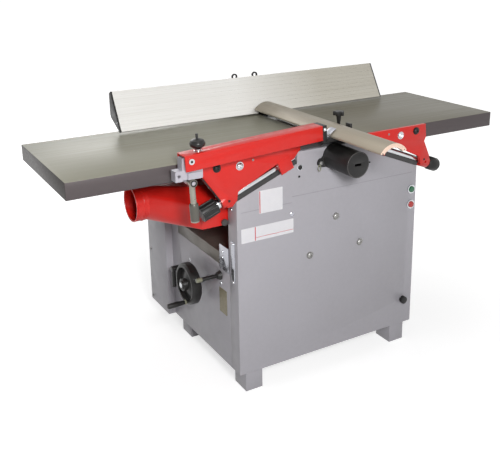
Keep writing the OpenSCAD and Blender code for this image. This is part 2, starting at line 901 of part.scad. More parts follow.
module dust_hood() color(red) seat() {
    difference() {
        union() {
            hood_loft(0, 0);
            slab_yz(hood_u0, hood_u1) hood_section(0);
            slab_xz(frame_t + hood_side, rear_y - hood_side) throat_profile(0);
            translate([port_u, mid_pass, below(port_d)]) {
                rod_x(port_r, 0, port_len - port_neck_l);
                rod_x(port_neck_r, 0, port_len + over / 2);
            }
            at_hood_pivot() {
                rod_y(trunnion_r, frame_t - sheet, frame_t + hood_side + hood_t);
                rod_y(trunnion_r, rear_y - hood_side - hood_t, rear_y + sheet);
            }
        }
        hood_loft(hood_t, over);
        slab_yz(hood_u0 + over / 2, hood_u1 - hood_t) hood_section(hood_t);
        slab_yz(hood_u1 - hood_t - over, hood_u1 + over) polygon([
            [frame_t + hood_side + hood_t, below(hood_bottom_d) + hood_t],
            [frame_t + hood_side + hood_t, below(hood_cheek_d)],
            [rear_y - hood_side - hood_t, below(hood_cheek_d)],
            [rear_y - hood_side - hood_t, below(hood_bottom_d) + hood_t]]);
        slab_xz(frame_t + hood_side + hood_t, rear_y - hood_side - hood_t) throat_profile(hood_t);
        translate([port_u, mid_pass, below(port_d)]) rod_x(port_r - hood_t, -over, port_len + over);
    }
}

// Planing tables on their ways

module hinge_arm(u) {
    low = way_low(u) + pad_t / 2;
    slab_yz(u - knuckle_w / 2, u + knuckle_w / 2) difference() {
        union() {
            polygon([[body_d + pad_edge, low], [body_d + pad_edge, hinge_z], [hinge_y + knuckle_r, hinge_z],
                [hinge_y, low]]);
            translate([hinge_y, hinge_z]) circle(r = knuckle_r);
        }
        translate([hinge_y, hinge_z]) circle(r = pin_r + fit);
    }
}

module cradle() {
    on_way() difference() {
        union() {
            box([0, way_l], [pad_edge, frame_t - pad_edge], [gap, pad_seat]);
            box([0, way_l], [rear_y + pad_edge, body_d - pad_edge], [gap, pad_seat]);
            box([beam_s0, beam_s1], [2 * rod_inset + pad_edge, body_d - 2 * rod_inset - pad_edge],
                [pad_t - over, pad_t + beam_t]);
            for (u = knuckle_us) {
                s = (u - half_plateau) / cos(way_a);
                box([s - knuckle_w / 2, s + knuckle_foot], [body_d - pad_t, hinge_y], [gap, pad_t]);
            }
        }
        for (y = rod_ys) translate([0, y, rod_n]) rod_x(rod_r, -over, way_l + over);
    }
    for (u = knuckle_us) hinge_arm(u);
}

module rods() on_way() for (y = rod_ys) translate([0, y, rod_n]) difference() {
    rod_x(rod_r, 0, rod_l);
    rod_x(spindle_r + fit, rod_l - spindle_in - 2 * rod_r, rod_l + over);
}

module planing_table(l) difference() {
    slab_xz(0, table_w) polygon(concat([[lip_us[0], table_h], [l, table_h], [l, below(rim_h)],
        [rim_u, below(rim_h)], [rim_u - rim_slope, below(lip_ds[2])]],
        [for (i = [2 : -1 : 0]) [lip_us[i], below(lip_ds[i])]]));
    bay = (l - rim_u - rim_t) / rib_bays;
    row = (table_w - rim_t) / rib_rows;
    for (i = [0 : rib_bays - 1], j = [0 : rib_rows - 1]) {
        u = rim_u + rim_t + i * bay;
        y = rim_t + j * row;
        box([u, u + bay - rib_t], [y, y + row - rim_t], [below(rim_h) - over, below(top_t)]);
    }
}

module collar(y, y_face) difference() {
    union() {
        translate([0, y, rod_n]) rod_x(collar_r, collar_s0, collar_s0 + collar_l);
        box([collar_s0, collar_s0 + collar_l], [min(y, y_face), max(y, y_face)], [rod_n, collar_top]);
    }
    translate([0, y, rod_n]) rod_x(rod_r + fit, collar_s0 - over, collar_s0 + collar_l + over);
    box([collar_s0 - over, collar_s0 + collar_l + over], [y - 2 * collar_r, y + 2 * collar_r],
        [rod_n - 2 * collar_r, pad_seat + gap]);
}

module bracket_plate(shares, l) slab_xz(-bracket_t, 0) {
    polygon([for (p = shares) [bracket_u + p[0] * l, below(p[1] * bracket_h)]]);
}

// The slanting outer edge of the outfeed bracket, thinned towards its end
module edge_facet() {
    top = outfeed_bracket_shares[2];
    low = outfeed_bracket_shares[3];
    tilt = atan((top[0] - low[0]) * outfeed_bracket_l / ((low[1] - top[1]) * bracket_h));
    translate([bracket_u + top[0] * outfeed_bracket_l, facet_drop - bracket_t, below(top[1] * bracket_h)])
        rotate([0, tilt, 0]) rotate([0, 0, atan(facet_drop / facet_w)])
        box([-2 * facet_w, facet_w], [-bracket_h, 0], [-bracket_h, bracket_h]);
}

module front_bracket(shares, l, faceted) difference() {
    union() {
        difference() {
            bracket_plate(shares, l);
            if (faceted) edge_facet();
        }
        on_way() {
            collar(rod_inset, -bracket_t - over);
            box([collar_s0, collar_s0 + collar_l], [-bracket_t - over, -pad_edge], [collar_lip, collar_top]);
            translate([0, rod_inset, rod_n]) rod_x(boss_r, boss_s0, boss_s0 + boss_l);
        }
    }
    on_way() translate([0, rod_inset, rod_n]) rod_x(spindle_r + fit, boss_s0 - over, boss_s0 + boss_l + over);
    on_way() translate([boss_s0 + boss_l / 3, 0, rod_n]) rod_y(set_hole_r, -bracket_t - over, rod_inset);
}

module rear_bracket() {
    box([rear_plate_u0, rear_plate_u1], [table_w, table_w + rear_plate_t],
        [below(rear_plate_d), below(over)]);
    on_way() collar(body_d - rod_inset, table_w);
}

module knob_spindle(ring_l) on_way() translate([0, rod_inset, rod_n]) {
    rod_x(spindle_r, rod_l - spindle_in, knob_s0 + ring_l);
    rod_x(knob_ring_r, knob_s0, knob_s0 + ring_l);
}

module at_grip(s) on_way() translate([s, rod_inset, rod_n]) rotate([0, 90, 0]) children();

module fluted_knob() at_grip(knob_s0 + knob_ring_l) difference() {
    cylinder(r = knob_r, h = knob_l);
    for (i = [0 : flutes - 1]) rotate([0, 0, i * 360 / flutes]) translate([knob_r, 0, flute_r])
        cylinder(r = flute_r / 2, h = knob_l);
}

module smooth_handle() at_grip(knob_s0 + handle_ring_l) {
    rotate_extrude() polygon(concat([[0, 0]], [for (p = handle_shares) [p[0] * handle_r, p[1] * handle_l]],
        [[0, handle_l]]));
}

module outfeed_cradle() color(dark) seat() flank(-1) cradle();
module infeed_cradle() color(dark) seat() flank(1) cradle();
module outfeed_rods() color(steel) seat() flank(-1) rods();
module infeed_rods() color(steel) seat() flank(1) rods();
module outfeed_table() color(iron) seat() flank(-1) planing_table(outfeed_l);
module infeed_table() color(iron) seat() flank(1) planing_table(infeed_l);

module outfeed_brackets() color(red) seat() flank(-1) {
    front_bracket(outfeed_bracket_shares, outfeed_bracket_l, true);
    rear_bracket();
}

module infeed_brackets() color(red) seat() flank(1) {
    front_bracket(infeed_bracket_shares, infeed_bracket_l, false);
    rear_bracket();
}

module outfeed_knob() color(dark) seat() flank(-1) {
    knob_spindle(knob_ring_l);
    fluted_knob();
}

module infeed_handle() color(dark) seat() flank(1) {
    knob_spindle(handle_ring_l);
    smooth_handle();
}

// Fence

module at_pivot() translate([fence_u, pivot_y, table_h + pivot_up]) children();
module fence_frame() at_pivot() rotate([-fence_lean, 0, 0]) children();

function fence_points(t) = concat([[t - face_y, fence_h - t], [t - face_y, t - fence_bottom]],
    [for (p = fence_back_shares) [p[0] * fence_h, p[1] * fence_h]]);

module fence_profile() color(alloy) seat() fence_frame() {
    x0 = cap_t - fence_l / 2;
    x1 = fence_l / 2 - cap_t;
    difference() {
        union() {
            difference() {
                slab_yz(x0, x1) difference() {
                    polygon(fence_points(0));
                    for (i = [1 : fence_grooves])
                        translate([-face_y - over, (i * fence_h / (fence_grooves + 1)) - fence_groove_w / 2])
                        square([over + fence_groove_d, fence_groove_w]);
                }
                slab_yz(x0 - over, x1 + over) polygon([
                    [plate_back, fence_bottom], [plate_back, fence_h - fence_wall],
                    [fence_back_shares[3][0] * fence_h - fence_wall, fence_h - fence_wall],
                    [fence_back_shares[2][0] * fence_h - fence_wall, fence_back_shares[2][1] * fence_h],
                    [fence_back_shares[1][0] * fence_h - fence_wall, fence_back_shares[1][1] * fence_h],
                    [plate_back + fence_wall / 2, fence_bottom]]);
                box([-notch_half, notch_half], [plate_back, fence_h], [-fence_h, notch_top]);
                box([-tongue_half - gap, tongue_half + gap], [-fence_h, fence_h],
                    [-fence_h, fence_ear_r + fence_pin_r]);
            }
            for (side = [-1, 1]) flank(side) rod_x(fence_ear_r, tongue_half + gap, tongue_half + fence_ear_w);
        }
        rod_x(fence_pin_r + fit, -fence_h, fence_h);
    }
}

module fence_end_caps() color(dark) seat() fence_frame() {
    for (x = [-fence_l / 2, fence_l / 2 - cap_t]) slab_yz(x, x + cap_t) polygon(fence_points(0));
}

module fence_bar() color(iron) seat() at_pivot() {
    z0 = bar_up - pivot_up;
    z1 = tongue_up - pivot_up;
    box([-bar_half, bar_half], [bar_y - pivot_y, bar_end - pivot_y], [z0, z0 + bar_h]);
    box([-tongue_half, tongue_half], [0, bar_y - pivot_y + over], [z1, z1 + tongue_t]);
    rod_x(fence_ear_r - over / 2, -tongue_half, tongue_half);
    rod_x(fence_pin_r, -tongue_half - fence_ear_w, tongue_half + fence_ear_w);
}

module fence_saddle() color(iron) seat() translate([fence_u, 0, table_h]) difference() {
    union() {
        box([-saddle_half, saddle_half], [table_w + saddle_off, saddle_y1], [-saddle_low, saddle_up]);
        box([-saddle_half - saddle_foot_l, over - saddle_half], [table_w, table_w + saddle_foot_t],
            [-saddle_foot_d1, -saddle_foot_d0]);
        translate([0, lever_y, lever_up])
            rod_x(lever_r, -saddle_half - lever_hub_l, saddle_half + lever_hub_l);
    }
    box([-bar_half - gap, bar_half + gap], [table_w, saddle_y1 + over], [bar_up - gap, bar_up + bar_h + gap]);
}

module clamp_handle(side) translate([fence_u, lever_y, table_h + lever_up]) flank(side) difference() {
    union() {
        rod_x(lever_hub_r, saddle_half + gap, saddle_half + lever_hub_l);
        translate([saddle_half + lever_hub_l / 2, 0, 0]) cylinder(r = lever_r, h = lever_l - loop_hole_r);
        translate([saddle_half + lever_hub_l / 2, 0, lever_l]) rod_y(loop_r, -loop_t / 2, loop_t / 2);
    }
    rod_x(lever_r + fit, 0, saddle_half + lever_hub_l + over);
    translate([saddle_half + lever_hub_l / 2, 0, lever_l]) rod_y(loop_hole_r, -loop_t, loop_t);
}

module slide_lever() color(dark) seat() clamp_handle(-1);
module tilt_lever() color(dark) seat() clamp_handle(1);

// Bridge guard

module guard_base() color(steel) seat() translate([0, 0, table_h]) difference() {
    cube_u = post_u0 + over - cube_w;
    union() {
        box([plate_u0, plate_u0 + plate_l], [-plate_out, 0], [-plate_d1, -plate_d0]);
        box([post_u0, post_u0 + post_l], post_ys, [-plate_d1, post_top]);
        box([cube_u, cube_u + cube_w], [post_ys[0], post_ys[0] + cube_depth], [-cube_d - cube_h, -cube_d]);
        translate([clamp_u, 0, -clamp_d]) {
            box([-clamp_hub_r, clamp_hub_r], [-clamp_out, -bracket_t], [0, clamp_d - plate_d1 + over]);
            rod_y(clamp_hub_r, -clamp_out, -bracket_t);
            rod_y(clamp_stud_r, -clamp_out - clamp_hub_l, -clamp_out);
        }
    }
    translate([pivot_u, 0, pivot_h]) rod_y(cross_r + fit, arm_y0, 0);
    translate([cube_u + cube_w / 2, 0, -cube_d - cube_h / 2]) rod_y(cube_hole_r, arm_y0, 0);
}

module at_arm() translate([pivot_u, 0, table_h + pivot_h]) rotate([0, -arm_rise, 0]) children();

module guard_arm() color(red) seat() at_arm() difference() {
    low = arm_low - pivot_h;
    box([-pivot_off, arm_l - pivot_off], [arm_y0, arm_y0 + arm_w], [low, low + arm_h]);
    box([-pivot_off - over, arm_l - pivot_off + over], [arm_y0 + arm_wall, arm_y0 + arm_w - arm_wall],
        [low - over, low + arm_h - arm_wall]);
    rod_y(cross_r, arm_y0 - over, arm_y0 + arm_w + over);
    translate([height_lever, arm_y0 + arm_w / 2, 0]) cylinder(r = height_screw_r + fit, h = arm_h);
}

module cross_bolt() color(steel) seat() at_arm() {
    rod_y(cross_r, arm_y0, arm_y0 + arm_w);
    rod_y(cross_head_r, arm_y0 - cross_head_t, arm_y0);
    rod_y(cross_head_r, arm_y0 + arm_w, arm_y0 + arm_w + cross_head_t);
}

module guard_carriage() color(dark) seat() {
    at_arm() {
        u = arm_l - pivot_off;
        low = arm_low - pivot_h;
        box([u, u + cap_block_l], [arm_y0, arm_y0 + arm_w], [low - cap_block_low, low + arm_h]);
        box([u - cap_block_l, u], [arm_y0 + arm_wall, arm_y0 + arm_w - arm_wall],
            [low, low + arm_h - arm_wall]);
    }
    translate([0, 0, table_h + shoe_up]) difference() {
        union() {
            box([arm_u1 + cap_block_l / 2, shoe_u1], [shoe_y0, shoe_y1], [0, shoe_t]);
            box([-shoe_rib_w / 2, shoe_rib_w / 2], [shoe_y0, shoe_y1], [shoe_t, shoe_t + shoe_rib_h]);
            translate([star_u, star_y, 0]) cylinder(r = star_post_r, h = shoe_t + star_post_h);
        }
        translate([star_u, star_y, -over])
            cylinder(r = star_stem_r + fit, h = shoe_t + star_post_h + 2 * over);
    }
}

module height_knob() color(dark) seat() at_arm() translate([height_lever, arm_y0 + arm_w / 2, 0]) {
    top = arm_low - pivot_h + arm_h;
    rest = (post_top - pivot_h - height_lever * sin(arm_rise)) / cos(arm_rise);
    low = rest + height_screw_r * tan(arm_rise) + gap;
    translate([0, 0, low]) cylinder(r = height_screw_r, h = top + height_stem - low);
    translate([0, 0, top + gap]) cylinder(r = height_screw_r + height_pin_r, h = height_stem);
    translate([0, 0, top + height_stem]) rotate_extrude() polygon(concat([[0, 0]],
        [for (p = height_knob_shares) [p[0] * height_knob_r, p[1] * height_knob_h]], [[0, height_knob_h]]));
    translate([0, 0, top + height_stem + height_knob_h - over]) cylinder(r = height_pin_r, h = height_pin_l);
}

module clamp_lever() color(iron) seat() translate([clamp_u, -clamp_out, below(clamp_d)]) difference() {
    union() {
        rod_y(clamp_hub_r, -clamp_hub_l, -gap);
        translate([0, -clamp_hub_l / 2, 0]) rotate([0, -clamp_lean, 0]) {
            translate([0, 0, -clamp_l]) cylinder(r = clamp_r, h = clamp_l);
            translate([0, 0, -clamp_l - clamp_grip_l]) cylinder(r = clamp_grip_r, h = clamp_grip_l);
        }
    }
    rod_y(clamp_stud_r + fit, -clamp_hub_l - over, 0);
}

module star_knob() color(dark) seat() translate([star_u, star_y, table_h + shoe_up + shoe_t + star_post_h]) {
    translate([0, 0, -shoe_t]) cylinder(r = star_stem_r, h = shoe_t + star_taper_h);
    translate([0, 0, gap]) cylinder(r1 = star_stem_r + over, r2 = star_taper_r, h = star_taper_h);
    translate([0, 0, star_taper_h]) linear_extrude(star_h) {
        circle(r = star_r - star_lobe_r);
        for (i = [0 : star_lobes - 1]) rotate(i * 360 / star_lobes) translate([star_r - star_lobe_r, 0])
            circle(r = star_lobe_r);
    }
}

module arch(w, rise, drop) intersection() {
    r = (w * w / 4 + rise * rise) / (2 * rise);
    translate([0, rise - r]) circle(r = r);
    translate([-w, -drop]) square([2 * w, 2 * w]);
}

module bridge_guard() color(alloy) seat() translate([0, 0, table_h + guard_up + guard_lip]) {
    slab_xz(-guard_reach, guard_l - guard_reach) difference() {
        union() {
            arch(guard_w, guard_rise, 0);
            translate([-guard_w / 2, -guard_lip]) square([guard_w, guard_lip]);
        }
        arch(guard_w - 2 * guard_t, guard_rise - guard_t, 0);
        translate([guard_t - guard_w / 2, -guard_lip - over])
            square([guard_w - 2 * guard_t, guard_lip + over + over / 2]);
    }
}

front_frame();
rear_frame();
end_panels();
bottom_tray();
feet();
rear_cabinet();
cutter_bearings();
motor();
drive_belt();
hinge_pins();
column_sleeve();
lift_gearbox();
finger_shaft();
chuck_guard();
switch_bezels();
cable_gland();
feed_bush();
start_button();
stop_button();
cutterblock();
knives();
cutter_pulley();
motor_rotor();
infeed_roller();
outfeed_roller();
kickback_fingers();
thickness_table();
bed_column();
lift_screw();
bevel_nut();
wheel_shaft();
handwheel();
crank_grip();
lock_lever();
feed_rod();
dust_hood();
outfeed_cradle();
outfeed_rods();
outfeed_table();
outfeed_brackets();
outfeed_knob();
infeed_cradle();
infeed_rods();
infeed_table();
infeed_brackets();
infeed_handle();
fence_saddle();
fence_bar();
fence_profile();
fence_end_caps();
slide_lever();
tilt_lever();
guard_base();
cross_bolt();
guard_arm();
guard_carriage();
height_knob();
clamp_lever();
star_knob();
bridge_guard();
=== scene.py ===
"""Looks for the combination planer thicknesser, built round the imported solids."""
import json
import math

import bmesh
import bpy
from mathutils import Matrix, Vector

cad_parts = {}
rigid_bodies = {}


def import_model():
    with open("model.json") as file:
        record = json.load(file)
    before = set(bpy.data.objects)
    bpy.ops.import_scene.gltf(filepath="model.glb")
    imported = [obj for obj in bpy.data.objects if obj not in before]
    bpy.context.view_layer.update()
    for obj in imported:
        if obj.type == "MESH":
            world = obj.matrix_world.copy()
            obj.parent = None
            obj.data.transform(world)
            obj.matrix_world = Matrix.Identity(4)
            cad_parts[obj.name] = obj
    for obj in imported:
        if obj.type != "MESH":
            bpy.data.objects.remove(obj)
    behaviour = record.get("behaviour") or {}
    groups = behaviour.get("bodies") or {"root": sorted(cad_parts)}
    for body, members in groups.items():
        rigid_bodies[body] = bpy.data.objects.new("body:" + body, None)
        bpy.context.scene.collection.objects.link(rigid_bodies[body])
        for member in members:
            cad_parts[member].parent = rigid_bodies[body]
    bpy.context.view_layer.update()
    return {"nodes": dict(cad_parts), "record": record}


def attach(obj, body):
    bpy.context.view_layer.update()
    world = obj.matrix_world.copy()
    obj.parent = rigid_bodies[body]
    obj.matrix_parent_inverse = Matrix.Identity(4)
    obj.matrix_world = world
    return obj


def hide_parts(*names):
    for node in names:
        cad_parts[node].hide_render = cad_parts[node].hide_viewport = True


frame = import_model()
NODES = frame["nodes"]
BODY_OF = {n: b for b, ns in frame["record"]["behaviour"]["bodies"].items() for n in ns}
SLOT_OF = {s["node"]: s["material_slot"] for s in frame["record"]["subparts"]}

# Places on the machine: u from the cutter axis, y from the front table edge, d below the table tops, in mm
CUTTER_X = 85.0
MID_Y = 242.5
TABLE_H = 850.0
WAY_A = math.radians(21.5)


def at(u, y, d):
    """A place in the shared frame, in metres."""
    return Vector((u + CUTTER_X, y - MID_Y, TABLE_H - d)) / 1000


def mm(value):
    return value / 1000


# Finishes

def linear(rgb):
    """A colour given as it looks on a screen, 0 to 255, as the shader's own numbers."""
    return tuple((c / 255 / 12.92) if c <= 10 else ((c / 255 + 0.055) / 1.055) ** 2.4 for c in rgb)


class Finish:
    """A procedural material: colour, gloss and relief from noise on the object's own coordinates."""

    def __init__(self, name, rgb, rough, metal=0.0, coat=0.0, specular=0.5):
        self.mat = bpy.data.materials.new(name)
        self.mat.use_nodes = True
        self.nodes = self.mat.node_tree.nodes
        self.links = self.mat.node_tree.links
        self.shader = self.nodes["Principled BSDF"]
        self.rgb = linear(rgb)
        self.shader.inputs["Base Color"].default_value = (*self.rgb, 1)
        self.shader.inputs["Roughness"].default_value = rough
        self.shader.inputs["Metallic"].default_value = metal
        self.shader.inputs["Coat Weight"].default_value = coat
        self.shader.inputs["Coat Roughness"].default_value = 0.12
        self.shader.inputs["Specular IOR Level"].default_value = specular
        self.coords = self.nodes.new("ShaderNodeTexCoord")
        self.colour = None
        self.relief = None

    def mapped(self, stretch):
        node = self.nodes.new("ShaderNodeMapping")
        node.inputs["Scale"].default_value = stretch
        self.links.new(self.coords.outputs["Object"], node.inputs["Vector"])
        return node.outputs["Vector"]

    def noise(self, scale, detail=3.0, stretch=(1, 1, 1)):
        node = self.nodes.new("ShaderNodeTexNoise")
        node.inputs["Scale"].default_value = scale
        node.inputs["Detail"].default_value = detail
        self.links.new(self.mapped(stretch), node.inputs["Vector"])
        return node.outputs["Fac"]

    def span(self, value, low, high, from_low=0.3, from_high=0.7):
        node = self.nodes.new("ShaderNodeMapRange")
        node.inputs["From Min"].default_value = from_low
        node.inputs["From Max"].default_value = from_high
        node.inputs["To Min"].default_value = low
        node.inputs["To Max"].default_value = high
        self.links.new(value, node.inputs["Value"])
        return node.outputs["Result"]

    def tint(self, value, rgb, share=1.0):
        """Mixes another colour in where the pattern is high."""
        node = self.nodes.new("ShaderNodeMix")
        node.data_type = "RGBA"
        if self.colour is None:
            node.inputs["A"].default_value = (*self.rgb, 1)
        else:
            self.links.new(self.colour, node.inputs["A"])
        node.inputs["B"].default_value = (*linear(rgb), 1)
        self.links.new(self.span(value, 0.0, share), node.inputs["Factor"])
        self.colour = node.outputs["Result"]
        self.links.new(self.colour, self.shader.inputs["Base Color"])
        return self

    def facing(self, axis, sign=1, flip=False):
        """How far a face looks along one of the object's own axes, 0 to 1; flipped, how far it does not."""
        node = self.nodes.new("ShaderNodeSeparateXYZ")
        self.links.new(self.coords.outputs["Normal"], node.inputs["Vector"])
        return self.span(node.outputs[axis], 1.0 if flip else 0.0, 0.0 if flip else 1.0, 0.0, sign)

    def along(self, axis, start, end):
        """Rises from 0 to 1 between two places, in metres, along one of the object's own axes."""
        node = self.nodes.new("ShaderNodeSeparateXYZ")
        self.links.new(self.coords.outputs["Object"], node.inputs["Vector"])
        return self.span(node.outputs[axis], 0.0, 1.0, start, end)

    def worn(self, width_mm):
        """High on outside edges, broken up by noise, as handling wears them."""
        rounded = self.nodes.new("ShaderNodeBevel")
        rounded.samples = 4
        rounded.inputs["Radius"].default_value = mm(width_mm)
        flat = self.nodes.new("ShaderNodeNewGeometry")
        turn = self.nodes.new("ShaderNodeVectorMath")
        turn.operation = "DOT_PRODUCT"
        self.links.new(rounded.outputs["Normal"], turn.inputs[0])
        self.links.new(flat.outputs["Normal"], turn.inputs[1])
        edge = self.span(turn.outputs["Value"], 1.0, 0.0, 0.80, 0.97)
        patch = self.nodes.new("ShaderNodeMath")
        patch.operation = "MULTIPLY"
        self.links.new(edge, patch.inputs[0])
        self.links.new(self.span(self.noise(45.0, 4.0), 0.2, 1.0), patch.inputs[1])
        return patch.outputs["Value"]

    def gloss(self, value, low, high):
        self.links.new(self.span(value, low, high), self.shader.inputs["Roughness"])
        return self

    def bump(self, value, strength, depth_mm):
        node = self.nodes.new("ShaderNodeBump")
        node.inputs["Strength"].default_value = strength
        node.inputs["Distance"].default_value = mm(depth_mm)
        self.links.new(value, node.inputs["Height"])
        if self.relief is not None:
            self.links.new(self.relief, node.inputs["Normal"])
        self.relief = node.outputs["Normal"]
        self.links.new(self.relief, self.shader.inputs["Normal"])
        return self


def painted_grey():
    """Body: sprayed grey with a little orange peel and paler handled edges."""
    f = Finish("grey_body_paint", (166, 164, 170), 0.44, coat=0.12)
    f.tint(f.noise(2.6), (157, 154, 159), 0.6)
    f.tint(f.noise(70.0, 4.0), (174, 172, 178), 0.25)
    f.tint(f.worn(1.6), (190, 188, 194), 0.7)
    f.gloss(f.noise(25.0), 0.38, 0.52)
    return f.bump(f.noise(420.0, 2.0), 0.22, 0.12).bump(f.noise(6.0, 1.0), 0.15, 0.6).mat


def painted_red():
    """Castings and the guard arm: enamel over a slightly rough skin."""
    f = Finish("red_casting_paint", (207, 30, 22), 0.34, coat=0.12, specular=0.4)
    f.tint(f.noise(6.0), (194, 25, 19), 0.6)
    f.tint(f.noise(90.0, 4.0), (214, 40, 32), 0.25)
    f.tint(f.worn(1.4), (238, 96, 82), 0.5)
    f.gloss(f.noise(40.0), 0.28, 0.44)
    return f.bump(f.noise(260.0, 3.0), 0.25, 0.2).bump(f.noise(18.0, 2.0), 0.2, 0.6).mat


def painted_black():
    f = Finish("black_steel_paint", (34, 33, 34), 0.4, coat=0.1)
    f.tint(f.noise(30.0, 4.0), (48, 47, 48), 0.5)
    f.tint(f.worn(1.0), (84, 83, 82), 0.5)
    f.gloss(f.noise(50.0), 0.32, 0.5)
    return f.bump(f.noise(380.0, 2.0), 0.3, 0.15).mat


def ground_iron():
    """Table tops: ground along their length with an olive cast, and painted darker towards the right as
    painted shade where the light falls off; the edges are dark and unpolished, and the end faces are painted
    darker still as painted shade.
    """
    f = Finish("ground_table_iron_painted_shade", (140, 138, 122), 0.42, metal=0.15, specular=0.2)
    # painted shade: the tops and edges darken towards the right, where the light falls off
    f.tint(f.along("X", -0.2, 0.5), (112, 107, 93))
    f.tint(f.noise(1.7, 3.0, (0.6, 1.0, 1.0)), (126, 123, 108), 0.4)
    f.tint(f.noise(34.0, 4.0, (0.05, 9.0, 9.0)), (138, 136, 122), 0.25)
    f.tint(f.facing("Z", flip=True), (88, 81, 82))
    # painted shade: the left and right end faces, turned from the light, are painted darker
    f.tint(f.facing("X", -1), (52, 46, 44))
    f.tint(f.facing("X"), (62, 57, 54))
    f.tint(f.worn(1.2), (160, 158, 146), 0.5)
    f.gloss(f.noise(26.0, 4.0, (0.08, 6.0, 6.0)), 0.34, 0.46)
    return f.bump(f.noise(60.0, 3.0, (0.04, 14.0, 14.0)), 0.06, 0.03).mat


# Thickness table: the ground iron again, painted darker than the tables as painted shade for its place in the
# shadow inside the machine
def ground_bed():
    f = Finish("ground_bed_iron_painted_shade", (104, 99, 92), 0.42, metal=0.4)
    f.tint(f.noise(6.0, 5.0, (0.4, 2.0, 1.0)), (84, 80, 74), 0.7)
    f.tint(f.noise(40.0, 4.0, (0.06, 9.0, 9.0)), (120, 116, 108), 0.4)
    f.gloss(f.noise(10.0, 4.0), 0.34, 0.52)
    return f.bump(f.noise(60.0, 3.0, (0.05, 14.0, 14.0)), 0.08, 0.04).mat


def cast_part():
    f = Finish("machined_iron", (74, 73, 73), 0.5, metal=0.5)
    f.tint(f.noise(16.0, 5.0), (54, 53, 53), 0.7)
    f.tint(f.worn(1.0), (120, 119, 117), 0.5)
    f.gloss(f.noise(40.0), 0.42, 0.62)
    return f.bump(f.noise(300.0, 3.0), 0.3, 0.2).mat


def bright_steel():
    f = Finish("bright_turned_steel", (204, 206, 209), 0.16, metal=1.0)
    f.tint(f.noise(40.0, 4.0), (182, 184, 187), 0.6)
    f.gloss(f.noise(120.0, 3.0), 0.1, 0.22)
    return f.bump(f.noise(500.0, 2.0), 0.08, 0.05).mat


def pale_alloy():
    """Milled clamp blocks: a pale matt grey."""
    f = Finish("milled_clamp_alloy", (178, 175, 184), 0.42, metal=0.2)
    f.tint(f.noise(22.0, 4.0), (164, 161, 170), 0.6)
    f.tint(f.noise(90.0, 3.0, (1.0, 8.0, 1.0)), (190, 187, 195), 0.35)
    f.gloss(f.noise(60.0), 0.32, 0.48)
    return f.bump(f.noise(300.0, 2.0, (1.0, 6.0, 1.0)), 0.1, 0.05).mat


def satin_steel():
    f = Finish("satin_lever_steel", (150, 148, 138), 0.3, metal=0.7)
    f.tint(f.noise(30.0, 4.0), (136, 134, 125), 0.5)
    return f.gloss(f.noise(80.0, 3.0), 0.26, 0.36).mat


def drawn_alloy():
    """Fence: drawn aluminium with faint lines along its length, painted darker towards the right as painted
    shade where the light falls off.
    """
    f = Finish("drawn_fence_alloy_painted_shade", (234, 233, 230), 0.38, metal=0.3)
    # painted shade: the fence darkens towards the right, where the light falls off
    f.tint(f.along("X", -0.3, 0.65), (176, 171, 158))
    f.tint(f.noise(26.0, 4.0, (0.04, 12.0, 12.0)), (206, 203, 194), 0.35)
    f.tint(f.noise(1.4, 2.0), (214, 212, 205), 0.3)
    f.gloss(f.noise(30.0, 3.0, (0.1, 12.0, 12.0)), 0.3, 0.45)
    return f.bump(f.noise(50.0, 3.0, (0.05, 14.0, 14.0)), 0.06, 0.03).mat


def guard_alloy():
    """Bridge guard: beige anodising along the top, and a painted highlight: the end that faces the front is
    painted pale where the light falls on it.
    """
    f = Finish("anodised_guard_alloy_painted_highlight", (154, 145, 129), 0.4, metal=0.25, specular=0.35)
    f.tint(f.noise(3.0, 2.0), (145, 136, 120), 0.5)
    f.tint(f.noise(40.0, 3.0, (9.0, 0.05, 9.0)), (162, 153, 138), 0.3)
    # painted highlight: the face looking to the front is painted pale, as lit
    f.tint(f.facing("Y", -1), (232, 203, 184))
    f.gloss(f.noise(30.0, 3.0, (9.0, 0.1, 9.0)), 0.32, 0.46)
    return f.bump(f.noise(60.0, 3.0, (12.0, 0.05, 12.0)), 0.05, 0.03).mat


def moulded_black():
    f = Finish("moulded_black_plastic", (27, 26, 26), 0.38, specular=0.3)
    f.tint(f.noise(40.0, 4.0), (42, 41, 40), 0.5)
    f.tint(f.worn(1.0), (72, 70, 68), 0.4)
    f.gloss(f.noise(70.0), 0.28, 0.46)
    return f.bump(f.noise(700.0, 2.0), 0.25, 0.08).mat


def even_finish(name, rgb, other, rough=0.35, metal=0.0, coat=0.0, grain=60.0):
    """A plain small-part finish: two close tones, uneven gloss and a fine skin."""
    f = Finish(name, rgb, rough, metal=metal, coat=coat)
    f.tint(f.noise(grain, 3.0), other, 0.5)
    f.gloss(f.noise(grain * 1.5), rough * 0.75, rough * 1.3)
    return f.bump(f.noise(grain * 8, 2.0), 0.12, 0.05).mat


FINISHES = {
    "grey_paint": painted_grey(),
    "red_paint": painted_red(),
    "black_paint": painted_black(),
    "cast_bed": ground_iron(),
    "cast_part": cast_part(),
    "steel": bright_steel(),
    "alloy": drawn_alloy(),
    "guard_alloy": guard_alloy(),
    "black_plastic": moulded_black(),
    "green_plastic": even_finish("green_button_plastic", (22, 92, 58), (34, 112, 74), 0.28, coat=0.3),
    "red_plastic": even_finish("red_button_plastic", (168, 34, 32), (190, 52, 46), 0.28, coat=0.3),
    "belt_rubber": even_finish("belt_rubber", (24, 24, 24), (36, 36, 35), 0.7, grain=80.0),
}
BED_PAINTED_SHADE_FINISH = ground_bed()
CLAMP_ALLOY = pale_alloy()
LEVER_STEEL = satin_steel()
PLATE_WHITE = even_finish("white_label_plate", (222, 221, 224), (215, 214, 218), 0.45)
PLATE_RED = even_finish("red_label_stripe", (196, 44, 54), (182, 36, 46), 0.4)
PLATE_OLIVE = even_finish("olive_scale_plate", (130, 122, 96), (116, 108, 84), 0.42, metal=0.2)
